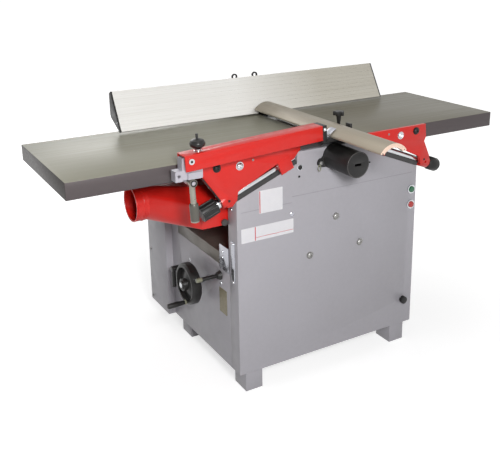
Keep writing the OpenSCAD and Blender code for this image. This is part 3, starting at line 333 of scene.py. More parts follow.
GRIP_DARK = even_finish("dark_grip_rubber", (72, 69, 68), (60, 57, 57), 0.5)
LEVER_GRIP = even_finish("lever_grip_enamel", (92, 90, 83), (78, 76, 70), 0.36, metal=0.3)
PLATE_BRIGHT = even_finish("bright_plate", (176, 177, 184), (164, 165, 172), 0.24, metal=0.9)
TIP_OLIVE = even_finish("olive_rod_tip", (132, 132, 112), (116, 116, 98), 0.4)
SEAM_GREY = even_finish("grey_seam_shadow", (148, 146, 152), (140, 138, 143), 0.5)
RAW_STEEL = even_finish("dull_screw_steel", (150, 149, 147), (124, 123, 121), 0.32, metal=0.8)


# Making pieces

def add_piece(mesh, name, body, slot, finish=None, replaces=()):
    """Links a finished mesh, at the origin, to the body that carries it."""
    mesh.materials.clear()
    mesh.materials.append(finish or FINISHES[slot])
    piece = bpy.data.objects.new(name, mesh)
    bpy.context.scene.collection.objects.link(piece)
    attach(piece, body)
    for node in replaces:
        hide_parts(node)


def evaluated_mesh(obj):
    graph = bpy.context.evaluated_depsgraph_get()
    mesh = bpy.data.meshes.new_from_object(obj.evaluated_get(graph))
    bpy.data.objects.remove(obj)
    return mesh


def smooth_by_angle(mesh, degrees=32.0):
    mesh.polygons.foreach_set("use_smooth", [True] * len(mesh.polygons))
    mesh.set_sharp_from_angle(angle=math.radians(degrees))
    return mesh


EASE_WELD = 2e-6
EASE_FLAT = math.radians(0.4)
EASE_ANGLE = math.radians(34.0)
EASE_SEGMENTS = 2


def eased(node, width_mm, finish=None):
    """Stands for a CAD node: the same solid with its hard edges eased, as a deburred or cast edge is."""
    work = bmesh.new()
    work.from_mesh(NODES[node].data)
    bmesh.ops.remove_doubles(work, verts=work.verts, dist=EASE_WELD)
    bmesh.ops.dissolve_limit(work, angle_limit=EASE_FLAT, verts=work.verts, edges=work.edges)
    mesh = bpy.data.meshes.new(node + "_eased")
    work.to_mesh(mesh)
    work.free()
    obj = bpy.data.objects.new(node + "_work", mesh)
    bpy.context.scene.collection.objects.link(obj)
    bevel = obj.modifiers.new("ease", "BEVEL")
    bevel.width = mm(width_mm)
    bevel.segments = EASE_SEGMENTS
    bevel.limit_method = "ANGLE"
    bevel.angle_limit = EASE_ANGLE
    bevel.use_clamp_overlap = True
    made = smooth_by_angle(evaluated_mesh(obj))
    add_piece(made, node + "_eased", BODY_OF[node], SLOT_OF[node], finish, (node,))


LEFT = Vector((-1, 0, 0))
RIGHT = Vector((1, 0, 0))
FRONT = Vector((0, -1, 0))
BACK = Vector((0, 1, 0))
UP = Vector((0, 0, 1))

# The two directions of an outline that lies on the front, on the left end or on top
ON_FRONT = (RIGHT, UP)
ON_LEFT_END = (FRONT, UP)
ON_TOP = (RIGHT, BACK)


class Shape:
    """Gathers the closed solids of one trim piece."""

    WELD = 1e-7
    EASE_SEGMENTS = 2

    def __init__(self):
        self.work = bmesh.new()

    def skin(self, rings, pairs):
        """Faces between pairs of rows of points; a row of one point closes an end."""
        for first, second in pairs:
            low = rings[first]
            high = rings[second]
            steps = max(len(low), len(high))
            for i in range(steps):
                j = (i + 1) % steps
                loop = [low[i % len(low)], low[j % len(low)], high[j % len(high)], high[i % len(high)]]
                loop = list(dict.fromkeys(loop))
                if len(loop) > 2:
                    self.work.faces.new(loop)

    def turned(self, place, axis, profile, steps=40, ring=False):
        """Spins (radius, height) pairs in mm about an axis; a ring joins its last pair to its first."""
        seat = Matrix.Translation(place) @ axis.to_track_quat("Z", "Y").to_matrix().to_4x4()
        rings = []
        for radius, height in profile:
            angles = [2 * math.pi * i / steps for i in range(steps if radius else 1)]
            points = [Vector((radius * math.cos(a), radius * math.sin(a), height)) / 1000 for a in angles]
            rings.append([self.work.verts.new(seat @ point) for point in points])
        pairs = [(i, i + 1) for i in range(len(rings) - 1)]
        self.skin(rings, pairs + ([(len(rings) - 1, 0)] if ring else []))
        return self

    def slab(self, place, across, up, outline, thick):
        """Raises an outline of (across, up) pairs in mm by a thickness towards across x up."""
        normal = across.cross(up)
        flat = [place + (across * a + up * b) / 1000 for a, b in outline]
        rings = [[self.work.verts.new(p + normal * mm(t)) for p in flat] for t in (0, thick)]
        self.skin(rings, [(0, 1)])
        for ring in rings:
            self.work.faces.new(ring)
        return self

    def wire(self, path, normal, radius, steps=10):
        """A round wire along a closed flat path."""
        turns = [2 * math.pi * k / steps for k in range(steps)]
        rings = []
        for i, point in enumerate(path):
            along = (path[(i + 1) % len(path)] - path[i - 1]).normalized()
            side = along.cross(normal)
            around = [(side * math.cos(t) + normal * math.sin(t)) * mm(radius) for t in turns]
            rings.append([self.work.verts.new(point + offset) for offset in around])
        self.skin(rings, [(i, (i + 1) % len(rings)) for i in range(len(rings))])
        return self

    def piece(self, name, body, slot, finish=None, ease_mm=0.0, angle=32.0):
        """Closes the work, eases its sharp edges if asked, and adds it to a body."""
        bmesh.ops.remove_doubles(self.work, verts=self.work.verts, dist=self.WELD)
        bmesh.ops.recalc_face_normals(self.work, faces=self.work.faces)
        if ease_mm:
            sharp = [e for e in self.work.edges if e.calc_face_angle(0.0) > math.radians(angle)]
            bmesh.ops.bevel(self.work, geom=sharp, offset=mm(ease_mm), segments=self.EASE_SEGMENTS,
                            profile=0.5, affect="EDGES", clamp_overlap=True)
        mesh = bpy.data.meshes.new(name)
        self.work.to_mesh(mesh)
        self.work.free()
        add_piece(smooth_by_angle(mesh, angle), name, body, slot, finish)


def turned_piece(name, body, slot, place, axis, profile, finish=None, steps=40, ring=False):
    """A trim piece of one turned solid, from (radius, height) pairs in mm."""
    Shape().turned(place, axis, profile, steps, ring).piece(name, body, slot, finish)


def slab_piece(name, body, slot, place, directions, outline, thick, finish=None, ease_mm=0.0):
    """A trim piece of one plate, from an outline in mm."""
    Shape().slab(place, *directions, outline, thick).piece(name, body, slot, finish, ease_mm)


CORNER_STEPS = 5


def rounded(a0, a1, b0, b1, radius):
    """A rectangle's outline with rounded corners, in mm."""
    points = []
    for ca, cb, start in ((a1 - radius, b1 - radius, 0), (a0 + radius, b1 - radius, 90),
                          (a0 + radius, b0 + radius, 180), (a1 - radius, b0 + radius, 270)):
        for i in range(CORNER_STEPS + 1):
            t = math.radians(start + 90 * i / CORNER_STEPS)
            points.append((ca + radius * math.cos(t), cb + radius * math.sin(t)))
    return points


def oblong(wide, high):
    """A rectangle's outline with square corners, in mm."""
    return [(0, 0), (wide, 0), (wide, high), (0, high)]


# Geometry Nodes for the fasteners and pressings

class Tree:
    """A Geometry Nodes tree with named size inputs, set on points that carry a facing and a size."""

    SMOOTH_ANGLE = 28.0

    def __init__(self, name, sizes):
        self.group = bpy.data.node_groups.new(name, "GeometryNodeTree")
        sockets = self.group.interface
        sockets.new_socket("Spots", in_out="INPUT", socket_type="NodeSocketGeometry")
        for label, value in sizes.items():
            sockets.new_socket(label, in_out="INPUT", socket_type="NodeSocketFloat").default_value = mm(value)
        sockets.new_socket("Finish", in_out="INPUT", socket_type="NodeSocketMaterial")
        sockets.new_socket("Fasteners", in_out="OUTPUT", socket_type="NodeSocketGeometry")
        self.ids = {s.name: s.identifier for s in sockets.items_tree if s.in_out == "INPUT"}
        self.given = self.group.nodes.new("NodeGroupInput").outputs

    def node(self, kind, links=None, **values):
        """A node with its settings, and its inputs either linked or set."""
        made = self.group.nodes.new(kind)
        for label, value in values.items():
            setattr(made, label, value)
        for label, value in (links or {}).items():
            if isinstance(value, bpy.types.NodeSocket):
                self.group.links.new(value, made.inputs[label])
            else:
                made.inputs[label].default_value = value
        return made

    def times(self, value, factor):
        return self.node("ShaderNodeMath", {0: value, 1: factor}, operation="MULTIPLY").outputs[0]

    def vector(self, x=0.0, y=0.0, z=0.0):
        return self.node("ShaderNodeCombineXYZ", {"X": x, "Y": y, "Z": z}).outputs[0]

    def moved(self, mesh, translation=None, scale=None):
        links = {"Geometry": mesh}
        if translation is not None:
            links["Translation"] = translation
        if scale is not None:
            links["Scale"] = scale
        return self.node("GeometryNodeTransform", links).outputs[0]

    def prism(self, sides, radius, depth, lift):
        sizes = {"Vertices": sides, "Radius": radius, "Depth": depth}
        mesh = self.node("GeometryNodeMeshCylinder", sizes).outputs["Mesh"]
        return self.moved(mesh, self.vector(z=lift))

    def dome(self, length, width, rise, *cutters):
        """The upper half of a ball, stretched, with anything else cut out of it."""
        sizes = {"Segments": 28, "Rings": 14, "Radius": 1.0}
        ball = self.node("GeometryNodeMeshUVSphere", sizes).outputs["Mesh"]
        shaped = self.moved(ball, scale=self.vector(length, width, rise))
        below = self.prism(16, self.times(length, 3.0), self.times(length, 4.0), self.times(length, -2.0))
        cut = self.node("GeometryNodeMeshBoolean", {"Mesh 1": shaped}, operation="DIFFERENCE")
        for cutter in (below, *cutters):
            self.group.links.new(cutter, cut.inputs["Mesh 2"])
        return cut.outputs["Mesh"]

    def close(self, *meshes):
        """Joins the meshes, sets them on the spots and ends the tree."""
        joined = self.node("GeometryNodeJoinGeometry")
        for mesh in meshes:
            self.group.links.new(mesh, joined.inputs[0])
        facing = self.node("GeometryNodeInputNamedAttribute", {"Name": "facing"}, data_type="FLOAT_VECTOR")
        size = self.node("GeometryNodeInputNamedAttribute", {"Name": "size"}, data_type="FLOAT")
        turn = self.node("FunctionNodeAlignRotationToVector", {"Vector": facing.outputs["Attribute"]},
                         axis="Z")
        placed = self.node("GeometryNodeInstanceOnPoints", {
            "Points": self.given["Spots"], "Instance": joined.outputs[0],
            "Rotation": turn.outputs["Rotation"], "Scale": size.outputs["Attribute"]})
        whole = self.node("GeometryNodeRealizeInstances", {"Geometry": placed.outputs[0]})
        dressed = self.node("GeometryNodeSetMaterial", {
            "Geometry": whole.outputs[0], "Material": self.given["Finish"]})
        self.group.links.new(dressed.outputs[0], self.group.nodes.new("NodeGroupOutput").inputs[0])
        return self

    def piece(self, name, body, slot, finish, sizes, spots):
        """One body's fasteners of one size; spots are (place, facing) or (place, facing, size)."""
        mesh = bpy.data.meshes.new(name + "_spots")
        mesh.from_pydata([spot[0] for spot in spots], [], [])
        mesh.attributes.new("facing", "FLOAT_VECTOR", "POINT")
        mesh.attributes.new("size", "FLOAT", "POINT")
        for i, spot in enumerate(spots):
            mesh.attributes["facing"].data[i].vector = spot[1]
            mesh.attributes["size"].data[i].value = spot[2] if len(spot) > 2 else 1.0
        obj = bpy.data.objects.new(name + "_work", mesh)
        modifier = obj.modifiers.new("set", "NODES")
        modifier.node_group = self.group
        for label, value in sizes.items():
            modifier[self.ids[label]] = mm(value)
        modifier[self.ids["Finish"]] = finish or FINISHES[slot]
        bpy.context.scene.collection.objects.link(obj)
        made = smooth_by_angle(evaluated_mesh(obj), self.SMOOTH_ANGLE)
        add_piece(made, name, body, slot, finish)


def bolt_size(head, rise, socket, washer, washer_rise):
    """A socket bolt's sizes in mm, under the names of its tree's inputs."""
    return {"Head Radius": head, "Head Rise": rise, "Socket Radius": socket,
            "Washer Radius": washer, "Washer Rise": washer_rise}


def press_size(half_length, half_width, rise):
    """A pressing's sizes in mm, under the names of its tree's inputs."""
    return {"Half Length": half_length, "Half Width": half_width, "Rise": rise}


def socket_bolt_tree():
    """A domed head with a hexagon socket on a washer."""
    tree = Tree("socket_bolts", bolt_size(9, 6, 4, 12, 1.6))
    radius = tree.given["Head Radius"]
    rise = tree.given["Head Rise"]
    washer = tree.given["Washer Rise"]
    socket = tree.prism(6, tree.given["Socket Radius"], rise, tree.times(rise, 1.05))
    head = tree.moved(tree.dome(radius, radius, rise, socket), tree.vector(z=washer))
    under = tree.prism(32, tree.given["Washer Radius"], washer, tree.times(washer, 0.5))
    return tree.close(head, under)


def pressing_tree():
    """A plain raised dome: a rivet where round, a pressed louvre where long."""
    tree = Tree("pressings", press_size(4, 4, 2))
    return tree.close(tree.dome(tree.given["Half Length"], tree.given["Half Width"], tree.given["Rise"]))


SOCKET_BOLTS = socket_bolt_tree()
PRESSINGS = pressing_tree()


# Every CAD node gets its finish
for node_name, node_obj in NODES.items():
    node_obj.data.materials.clear()
    node_obj.data.materials.append(FINISHES[SLOT_OF[node_name]])
# the thickness table takes the iron painted darker as painted shade
NODES["thickness_table"].data.materials[0] = BED_PAINTED_SHADE_FINISH
NODES["guard_base"].data.materials[0] = CLAMP_ALLOY


# Stage, in metres
FLOOR_REACH = 30.0
FLOOR_GREY = (196, 196, 196)
FLOOR_BOUNCE = 0.03
GLOW_NEAR = 0.66
GLOW_FAR = 1.0
FADE_START = 0.5
FADE_END = 2.4
WORLD_FILL = 0.13
WORLD_WHITE = 1.0

# Each lamp's name, place, aim, width and watts
LAMPS = (
    ("key_flash", (-1.0, -2.5, 1.8), (0, 0, 0.6), 0.55, 64.0),
    ("fill_window", (3.4, -2.6, 2.6), (0.2, 0, 0.5), 3.0, 10.0),
    ("top_window", (-0.4, 0.4, 4.2), (0, 0, 0.8), 2.6, 26.0),
    ("sheen_window", (0.62, 4.2, 2.05), (-0.3, 0, 0.8), 1.5, 20.0),
    ("back_window", (-1.2, 4.0, 3.0), (0, 0.2, 0.5), 1.8, 34.0),
)

# The camera, fitted to corners of the machine seen in the photo
CAMERA_PLACE = (-1.3328, -2.1949, 1.4697)
CAMERA_AZIMUTH = math.radians(-30.652)
CAMERA_ELEVATION = math.radians(16.092)
CAMERA_ROLL = math.radians(-0.619)
PHOTO_WIDTH_PX = 500
FOCAL_PX = 744.67
SENSOR_MM = 36.0
SHIFT_X = -0.0332
SHIFT_Y = -0.13


def background_ray(nodes, links):
    """1 for rays from the camera, from a reflection or through glass, else 0."""
    path = nodes.new("ShaderNodeLightPath")
    seen = path.outputs["Is Camera Ray"]
    for kind in ("Is Glossy Ray", "Is Transmission Ray"):
        most = nodes.new("ShaderNodeMath")
        most.operation = "MAXIMUM"
        links.new(seen, most.inputs[0])
        links.new(path.outputs[kind], most.inputs[1])
        seen = most.outputs[0]
    return seen


def floor_finish():
    """Matt white that keeps the shadow and glows into the white background further out."""
    mat = bpy.data.materials.new("studio_floor_white")
    mat.use_nodes = True
    nodes = mat.node_tree.nodes
    links = mat.node_tree.links
    shader = nodes["Principled BSDF"]
    shader.inputs["Base Color"].default_value = (*linear(FLOOR_GREY), 1)
    shader.inputs["Roughness"].default_value = 0.9
    shader.inputs["Specular IOR Level"].default_value = 0.0
    shader.inputs["Emission Color"].default_value = (1, 1, 1, 1)
    coords = nodes.new("ShaderNodeTexCoord")
    far = nodes.new("ShaderNodeVectorMath")
    far.operation = "LENGTH"
    links.new(coords.outputs["Object"], far.inputs[0])
    fade = nodes.new("ShaderNodeMapRange")
    fade.interpolation_type = "SMOOTHSTEP"
    fade.inputs["From Min"].default_value = FADE_START
    fade.inputs["From Max"].default_value = FADE_END
    fade.inputs["To Min"].default_value = GLOW_NEAR
    fade.inputs["To Max"].default_value = GLOW_FAR
    links.new(far.outputs["Value"], fade.inputs["Value"])
    glow = nodes.new("ShaderNodeMapRange")
    glow.inputs["To Min"].default_value = FLOOR_BOUNCE
    links.new(background_ray(nodes, links), glow.inputs["Value"])
    links.new(fade.outputs["Result"], glow.inputs["To Max"])
    links.new(glow.outputs["Result"], shader.inputs["Emission Strength"])
    return mat


def make_stage():
    work = bmesh.new()
    corners = ((-1, -1), (1, -1), (1, 1), (-1, 1))
    work.faces.new([work.verts.new((x * FLOOR_REACH, y * FLOOR_REACH, 0)) for x, y in corners])
    mesh = bpy.data.meshes.new("studio_floor")
    work.to_mesh(mesh)
    work.free()
    mesh.materials.append(floor_finish())
    floor = bpy.data.objects.new("studio_floor", mesh)
    bpy.context.scene.collection.objects.link(floor)


def make_world():
    """A dim fill light that the camera and reflections see as white."""
    world = bpy.data.worlds.new("studio")
    bpy.context.scene.world = world
    world.use_nodes = True
    nodes = world.node_tree.nodes
    links = world.node_tree.links
    nodes.clear()
    mix = nodes.new("ShaderNodeMixShader")
    links.new(background_ray(nodes, links), mix.inputs["Fac"])
    for place, strength in ((1, WORLD_FILL), (2, WORLD_WHITE)):
        light = nodes.new("ShaderNodeBackground")
        light.inputs["Color"].default_value = (1, 1, 1, 1)
        light.inputs["Strength"].default_value = strength
        links.new(light.outputs[0], mix.inputs[place])
    out = nodes.new("ShaderNodeOutputWorld")
    links.new(mix.outputs[0], out.inputs["Surface"])


def make_lamp(name, place, aim, size, power):
    data = bpy.data.lights.new(name, "AREA")
    data.size = size
    data.energy = power
    lamp = bpy.data.objects.new(name, data)
    lamp.location = place
    lamp.rotation_euler = (Vector(aim) - Vector(place)).to_track_quat("-Z", "Y").to_euler()
    bpy.context.scene.collection.objects.link(lamp)


def make_camera():
    """The photo's view."""
    level = math.cos(CAMERA_ELEVATION)
    back = Vector((math.sin(CAMERA_AZIMUTH) * level, -math.cos(CAMERA_AZIMUTH) * level,
                   math.sin(CAMERA_ELEVATION)))
    right = Vector((math.cos(CAMERA_AZIMUTH), math.sin(CAMERA_AZIMUTH), 0))
    up = back.cross(right)
    across = math.cos(CAMERA_ROLL) * right + math.sin(CAMERA_ROLL) * up
    over = -math.sin(CAMERA_ROLL) * right + math.cos(CAMERA_ROLL) * up
    turn = Matrix((across, over, back)).transposed()
    data = bpy.data.cameras.new("photo_view")
    data.sensor_width = SENSOR_MM
    data.lens = FOCAL_PX / PHOTO_WIDTH_PX * SENSOR_MM
    data.shift_x = SHIFT_X
    data.shift_y = SHIFT_Y
    data.clip_start = 0.05
    data.clip_end = 200.0
    camera = bpy.data.objects.new("photo_view", data)
    camera.matrix_world = Matrix.Translation(CAMERA_PLACE) @ turn.to_4x4()
    bpy.context.scene.collection.objects.link(camera)
    bpy.context.scene.camera = camera


make_stage()
make_world()
for lamp_values in LAMPS:
    make_lamp(*lamp_values)
make_camera()
bpy.context.scene.view_settings.view_transform = "Standard"

# Solids with eased edges: how wide each is eased, in mm
for eased_node, ease_width in (
    ("front_frame", 1.6), ("end_panels", 0.8), ("feet", 1.5), ("rear_cabinet", 1.6),
    ("outfeed_table", 1.2), ("infeed_table", 1.2), ("outfeed_brackets", 2.0), ("infeed_brackets", 2.0),
    ("guard_arm", 1.0), ("guard_carriage", 1.2), ("bridge_guard", 0.8), ("chuck_guard", 1.6),
    ("fence_end_caps", 1.2), ("outfeed_knob", 1.2), ("infeed_handle", 1.6), ("height_knob", 1.0),
    ("star_knob", 1.2), ("handwheel", 1.2), ("feed_bush", 0.8), ("crank_grip", 1.2),
    ("lock_lever", 1.2), ("feed_rod", 1.0), ("cable_gland", 0.8), ("switch_bezels", 0.6),
    ("start_button", 0.8), ("stop_button", 0.8), ("outfeed_rods", 0.6), ("infeed_rods", 0.6),
    ("fence_saddle", 1.0), ("slide_lever", 0.8), ("tilt_lever", 0.8),
):
    eased(eased_node, ease_width)
eased("thickness_table", 1.2, BED_PAINTED_SHADE_FINISH)
eased("clamp_lever", 1.2, LEVER_STEEL)


# Trim on the front panel
PANEL_BOLT = bolt_size(11.5, 7, 4.5, 13.5, 1.5)
PANEL_BOLT_PLACES = ((-93, 400), (14.5, 279.4), (120, 397))
PLUG_PLACE = at(-165, 0, 237)
PLUG_PROFILE = [(0, 0), (8, 0), (8, 1.2), (6.4, 2.4), (0, 2.8)]
RIMMED_HOLE = (-134, 80, 8.5)
PANEL_HOLES = (RIMMED_HOLE, (-137, 111, 4), (155, 108, 3.2))
HOLE_RIM_PROFILE = [(8.5, 0), (10.2, 0), (10.2, 0.7), (9.6, 1.3), (8.5, 1.3)]
SEAM_LINES = ((-357, -166, 196), (-166, 352, 176))
SEAM_HALF = 0.9
SEAM_RISE = 0.25


def front_panel_trim():
    spots = [(at(u, 0, d), FRONT) for u, d in PANEL_BOLT_PLACES]
    SOCKET_BOLTS.piece("panel_bolts", "base", "steel", RAW_STEEL, PANEL_BOLT, spots)
    turned_piece("panel_plug", "base", "steel", PLUG_PLACE, FRONT, PLUG_PROFILE, PLATE_BRIGHT)
    # painted shade: the panel's holes are closed by black dished discs that stand for the shade inside them
    holes = Shape()
    for u, d, r in PANEL_HOLES:
        profile = [(0, 0), (r, 0), (r, 0.9), (r * 0.78, 1.1), (r * 0.62, 0.4), (0, 0.3)]
        holes.turned(at(u, 0, d), FRONT, profile)
    holes.piece("panel_hole_shade_discs", "base", "black_plastic")
    rim_place = at(RIMMED_HOLE[0], 0, RIMMED_HOLE[1])
    turned_piece("panel_hole_rim", "base", "steel", rim_place, FRONT, HOLE_RIM_PROFILE, ring=True)
    seams = Shape()
    for left, right, d in SEAM_LINES:
        length = right - left
        outline = [(0, -SEAM_HALF), (length, -SEAM_HALF), (length, SEAM_HALF), (0, SEAM_HALF)]
        seams.slab(at(left, 0, d), RIGHT, UP, outline, SEAM_RISE)
    seams.piece("panel_seams", "base", "grey_paint", SEAM_GREY)


# Each label's left, right, top and low edge, then its upright stripe's left edge, width, top and low edge
LABELS = (
    ((-291, -202, 133.5, 211), (-289.5, 3.2, 135.0, 209.5)),
    ((-358, -160, 251.7, 301), (-308, 3.0, 253, 299.7)),
)
LABEL_CORNER = 2.5
LABEL_RISE = 0.8
STRIPE_SEAT = -0.7
STRIPE_RISE = 0.3
LEVEL_STRIPE_PLACE = at(-304, STRIPE_SEAT, 290.2)
LEVEL_STRIPE = oblong(143, 1.4)
LABEL_RIVET = press_size(1.6, 1.6, 0.7)
RIVET_INSET = 4.5
STRIPE_ROOM = 7


def label_plates():
    """Bare plates where the machine carries its labels: white with plain red stripes."""
    plates = Shape()
    stripes = Shape()
    rivets = []
    for (left, right, top, low), (stripe, wide, stripe_top, stripe_low) in LABELS:
        outline = rounded(0, right - left, 0, low - top, LABEL_CORNER)
        plates.slab(at(left, 0, low), RIGHT, UP, outline, LABEL_RISE)
        upright = oblong(wide, stripe_low - stripe_top)
        stripes.slab(at(stripe, STRIPE_SEAT, stripe_low), RIGHT, UP, upright, STRIPE_RISE)
        for u in (left + STRIPE_ROOM + RIVET_INSET, right - RIVET_INSET):
            rivets += [(at(u, -LABEL_RISE, d), FRONT) for d in (top + RIVET_INSET, low - RIVET_INSET)]
    stripes.slab(LEVEL_STRIPE_PLACE, RIGHT, UP, LEVEL_STRIPE, STRIPE_RISE)
    plates.piece("label_plates", "base", "alloy", PLATE_WHITE)
    stripes.piece("label_stripes", "base", "red_paint", PLATE_RED)
    PRESSINGS.piece("label_rivets", "base", "alloy", FINISHES["alloy"], LABEL_RIVET, rivets)


# Trim on the left end
END_FACE = -372.5
SCALE_OUTLINE = rounded(0, 53, 0, 91, 2.0)
SCALE_THICK = 0.9
CORNER_SEAT = -372.9
CORNER_OUTLINE = [(0, 0), (66, 0), (66, 88), (6, 88), (0, 82)]
CORNER_THICK = 2.0
STRIP_OUTLINE = rounded(0, 26, 0, 146, 9)
STRIP_THICK = 1.4
SLOT_SHADE_OUTLINE = rounded(0, 12, 0, 42, 5)
SLOT_SHADE_THICK = 0.35
END_SCREW = bolt_size(4, 2.6, 1.7, 4.6, 0.8)
PANEL_SCREW_SCALE = 1.3
CORNER_SCREWS = ((101, 360), (101, 378))
STRIP_SCREWS = ((32, 309), (32, 444))
PANEL_SCREWS = ((368, 487), (119.5, 481), (34, 190))


def left_end_trim():
    """On the left end: the scale plate, the bright corner plate, the thickness strip with its slot painted as
    a black sheet of shade, and small screws.
    """
    corner_face = CORNER_SEAT - CORNER_THICK
    strip_face = END_FACE - STRIP_THICK
    slab_piece("scale_plate", "base", "alloy", at(END_FACE, 137, 591), ON_LEFT_END,
               SCALE_OUTLINE, SCALE_THICK, PLATE_OLIVE)
    slab_piece("corner_plate", "base", "steel", at(CORNER_SEAT, 127, 425), ON_LEFT_END,
               CORNER_OUTLINE, CORNER_THICK, PLATE_BRIGHT, 0.4)
    slab_piece("thickness_strip", "base", "steel", at(END_FACE, 45, 446), ON_LEFT_END,
               STRIP_OUTLINE, STRIP_THICK, PLATE_BRIGHT, 0.3)
    # painted shade: a thin black sheet stands for the shade inside the strip's slot
    slab_piece("thickness_slot_shade", "base", "black_plastic", at(strip_face, 38.5, 438), ON_LEFT_END,
               SLOT_SHADE_OUTLINE, SLOT_SHADE_THICK)
    spots = [(at(corner_face, y, d), LEFT) for y, d in CORNER_SCREWS]
    spots += [(at(strip_face, y, d), LEFT) for y, d in STRIP_SCREWS]
    spots += [(at(END_FACE, y, d), LEFT, PANEL_SCREW_SCALE) for y, d in PANEL_SCREWS]
    SOCKET_BOLTS.piece("left_end_screws", "base", "steel", None, END_SCREW, spots)


# Trim on the chuck guard
PIVOT_BOLT = bolt_size(5.5, 3.5, 2.2, 7, 1.0)
PIVOT_BOLT_PLACE = at(-54, -6, 77)
RING_STEPS = 32
RING_HALF_WIDTH = 5
RING_HALF_HEIGHT = 11
RING_WIRE = 1.5
RIM_PLACE = at(0, -134.2, 60)
RIM_PROFILE = [(40.5, 0), (43.2, 0), (43.2, 0.6), (42.4, 1.2), (41.2, 1.2), (40.5, 0.6)]


def chuck_guard_trim():
    """The pivot bolt on the flange, its hanging ring and the raised rim of the end face, whose paler grey
    paints the highlight along it.
    """
    SOCKET_BOLTS.piece("chuck_guard_bolt", "base", "steel", RAW_STEEL, PIVOT_BOLT,
                       [(PIVOT_BOLT_PLACE, FRONT)])
    path = []
    for i in range(RING_STEPS):
        t = 2 * math.pi * i / RING_STEPS
        path.append(at(-62 + RING_HALF_WIDTH * math.sin(t), -8.5, 92 - RING_HALF_HEIGHT * math.cos(t)))
    Shape().wire(path, FRONT, RING_WIRE).piece("chuck_guard_ring", "base", "steel", TIP_OLIVE)
    # painted highlight: the raised rim is real, its paler grey stands for the highlight it catches
    turned_piece("chuck_guard_rim", "base", "black_plastic", RIM_PLACE, FRONT, RIM_PROFILE,
                 GRIP_DARK, 64, True)


# Trim on the rear cabinet
CABINET_BACK = 705
CABINET_SIDE = 400.5
SIDE_SCREW_Y = 690
CABINET_SCREW = bolt_size(5, 3, 2, 6, 0.8)
SCREW_TOP = 346
SCREW_MID = 552
SCREW_LOW = 759
COVER_COLUMNS = (-384, -128, 128, 384)
LOUVRE = press_size(62, 5.5, 4.5)
LOUVRE_COLUMNS = (-190, 190)
LOUVRE_TOP = 420
LOUVRE_PITCH = 18
LOUVRE_ROWS = 7


def cabinet_trim():
    """Cover screws and pressed louvres on the rear cabinet."""
    spots = [(at(u, CABINET_BACK, d), BACK) for u in COVER_COLUMNS for d in (SCREW_TOP, SCREW_LOW)]
    spots += [(at(u, CABINET_BACK, SCREW_MID), BACK) for u in (COVER_COLUMNS[0], COVER_COLUMNS[-1])]
    for side in (-1, 1):
        for d in (SCREW_TOP, SCREW_MID, SCREW_LOW):
            spots.append((at(side * CABINET_SIDE, SIDE_SCREW_Y, d), RIGHT * side))
    SOCKET_BOLTS.piece("cabinet_screws", "base", "steel", RAW_STEEL, CABINET_SCREW, spots)
    louvres = []
    for u in LOUVRE_COLUMNS:
        for row in range(LOUVRE_ROWS):
            louvres.append((at(u, CABINET_BACK, LOUVRE_TOP + LOUVRE_PITCH * row), BACK))
    PRESSINGS.piece("cabinet_louvres", "base", "grey_paint", FINISHES["grey_paint"], LOUVRE, louvres)


front_panel_trim()
label_plates()
left_end_trim()
chuck_guard_trim()
cabinet_trim()


# Trim on the tables' brackets and ways
WAY_U = 145
WAY_D = 66
BRACKET_FACE = -12
BRACKET_BOLT = bolt_size(11, 7, 4.6, 13.5, 1.8)
SET_SCREW = bolt_size(3.4, 2, 1.4, 4, 0.6)
HOLE_SHADE_PROFILE = [(0, 0), (4.2, 0), (4.2, 0.6), (3.2, 0.9), (2.6, 0.3), (0, 0.2)]
EDGE_STRIP_TOP = at(-489, 0, 56)
EDGE_STRIP_LOW = at(-430, 0, 138)
EDGE_STRIP_HALF = 9
EDGE_STRIP_CORNER = 3
EDGE_STRIP_THICK = 3.5
SMALL_RIVET = press_size(3, 3, 1.6)

# Each table's bright bolt, black bolt, set screw and hole, whose shade is painted as a black disc, by u and d
# on its front bracket
BRACKET_FIXINGS = {
    "outfeed_table": ((-365, 35), (-444, 30), (-317, 23), (-404, 143)),
    "infeed_table": ((280, 27), (351, 20), (227, 16), (396, 132)),
}


def way_place(side, s, n, y):
    """A place along an inclined way: s down the slope, n above it."""
    c = math.cos(WAY_A)
    k = math.sin(WAY_A)
    return at(side * (WAY_U + s * c + n * k), y, WAY_D + s * k - n * c)


def bracket_trim():
    for body, places in BRACKET_FIXINGS.items():
        bright, black, small, hole = [at(u, BRACKET_FACE, d) for u, d in places]
        for kind, slot, finish, size, place in (
            ("_bright_bolt", "steel", None, BRACKET_BOLT, bright),
            ("_black_bolt", "black_plastic", None, BRACKET_BOLT, black),
            ("_set_screw", "steel", RAW_STEEL, SET_SCREW, small),
        ):
            SOCKET_BOLTS.piece(body + kind, body, slot, finish, size, [(place, FRONT)])
        # painted shade: a black dished disc stands for the shade inside the bracket's hole
        turned_piece(body + "_bracket_hole_shade", body, "black_plastic", hole, FRONT, HOLE_SHADE_PROFILE)


def edge_strip():
    """The black rubbing strip on the outfeed bracket's slanting edge, with its rivets."""
    run = EDGE_STRIP_LOW - EDGE_STRIP_TOP
    along = run.normalized()
    out = BACK.cross(along)
    outline = rounded(0, run.length * 1000, -EDGE_STRIP_HALF, EDGE_STRIP_HALF, EDGE_STRIP_CORNER)
    slab_piece("bracket_edge_strip", "outfeed_table", "black_plastic", EDGE_STRIP_TOP, (along, FRONT),
               outline, EDGE_STRIP_THICK, None, 0.6)
    face = EDGE_STRIP_TOP + out * mm(EDGE_STRIP_THICK)
    PRESSINGS.piece("edge_strip_rivets", "outfeed_table", "steel", RAW_STEEL, SMALL_RIVET,
                    [(face + run * share, out) for share in (0.4, 0.8)])


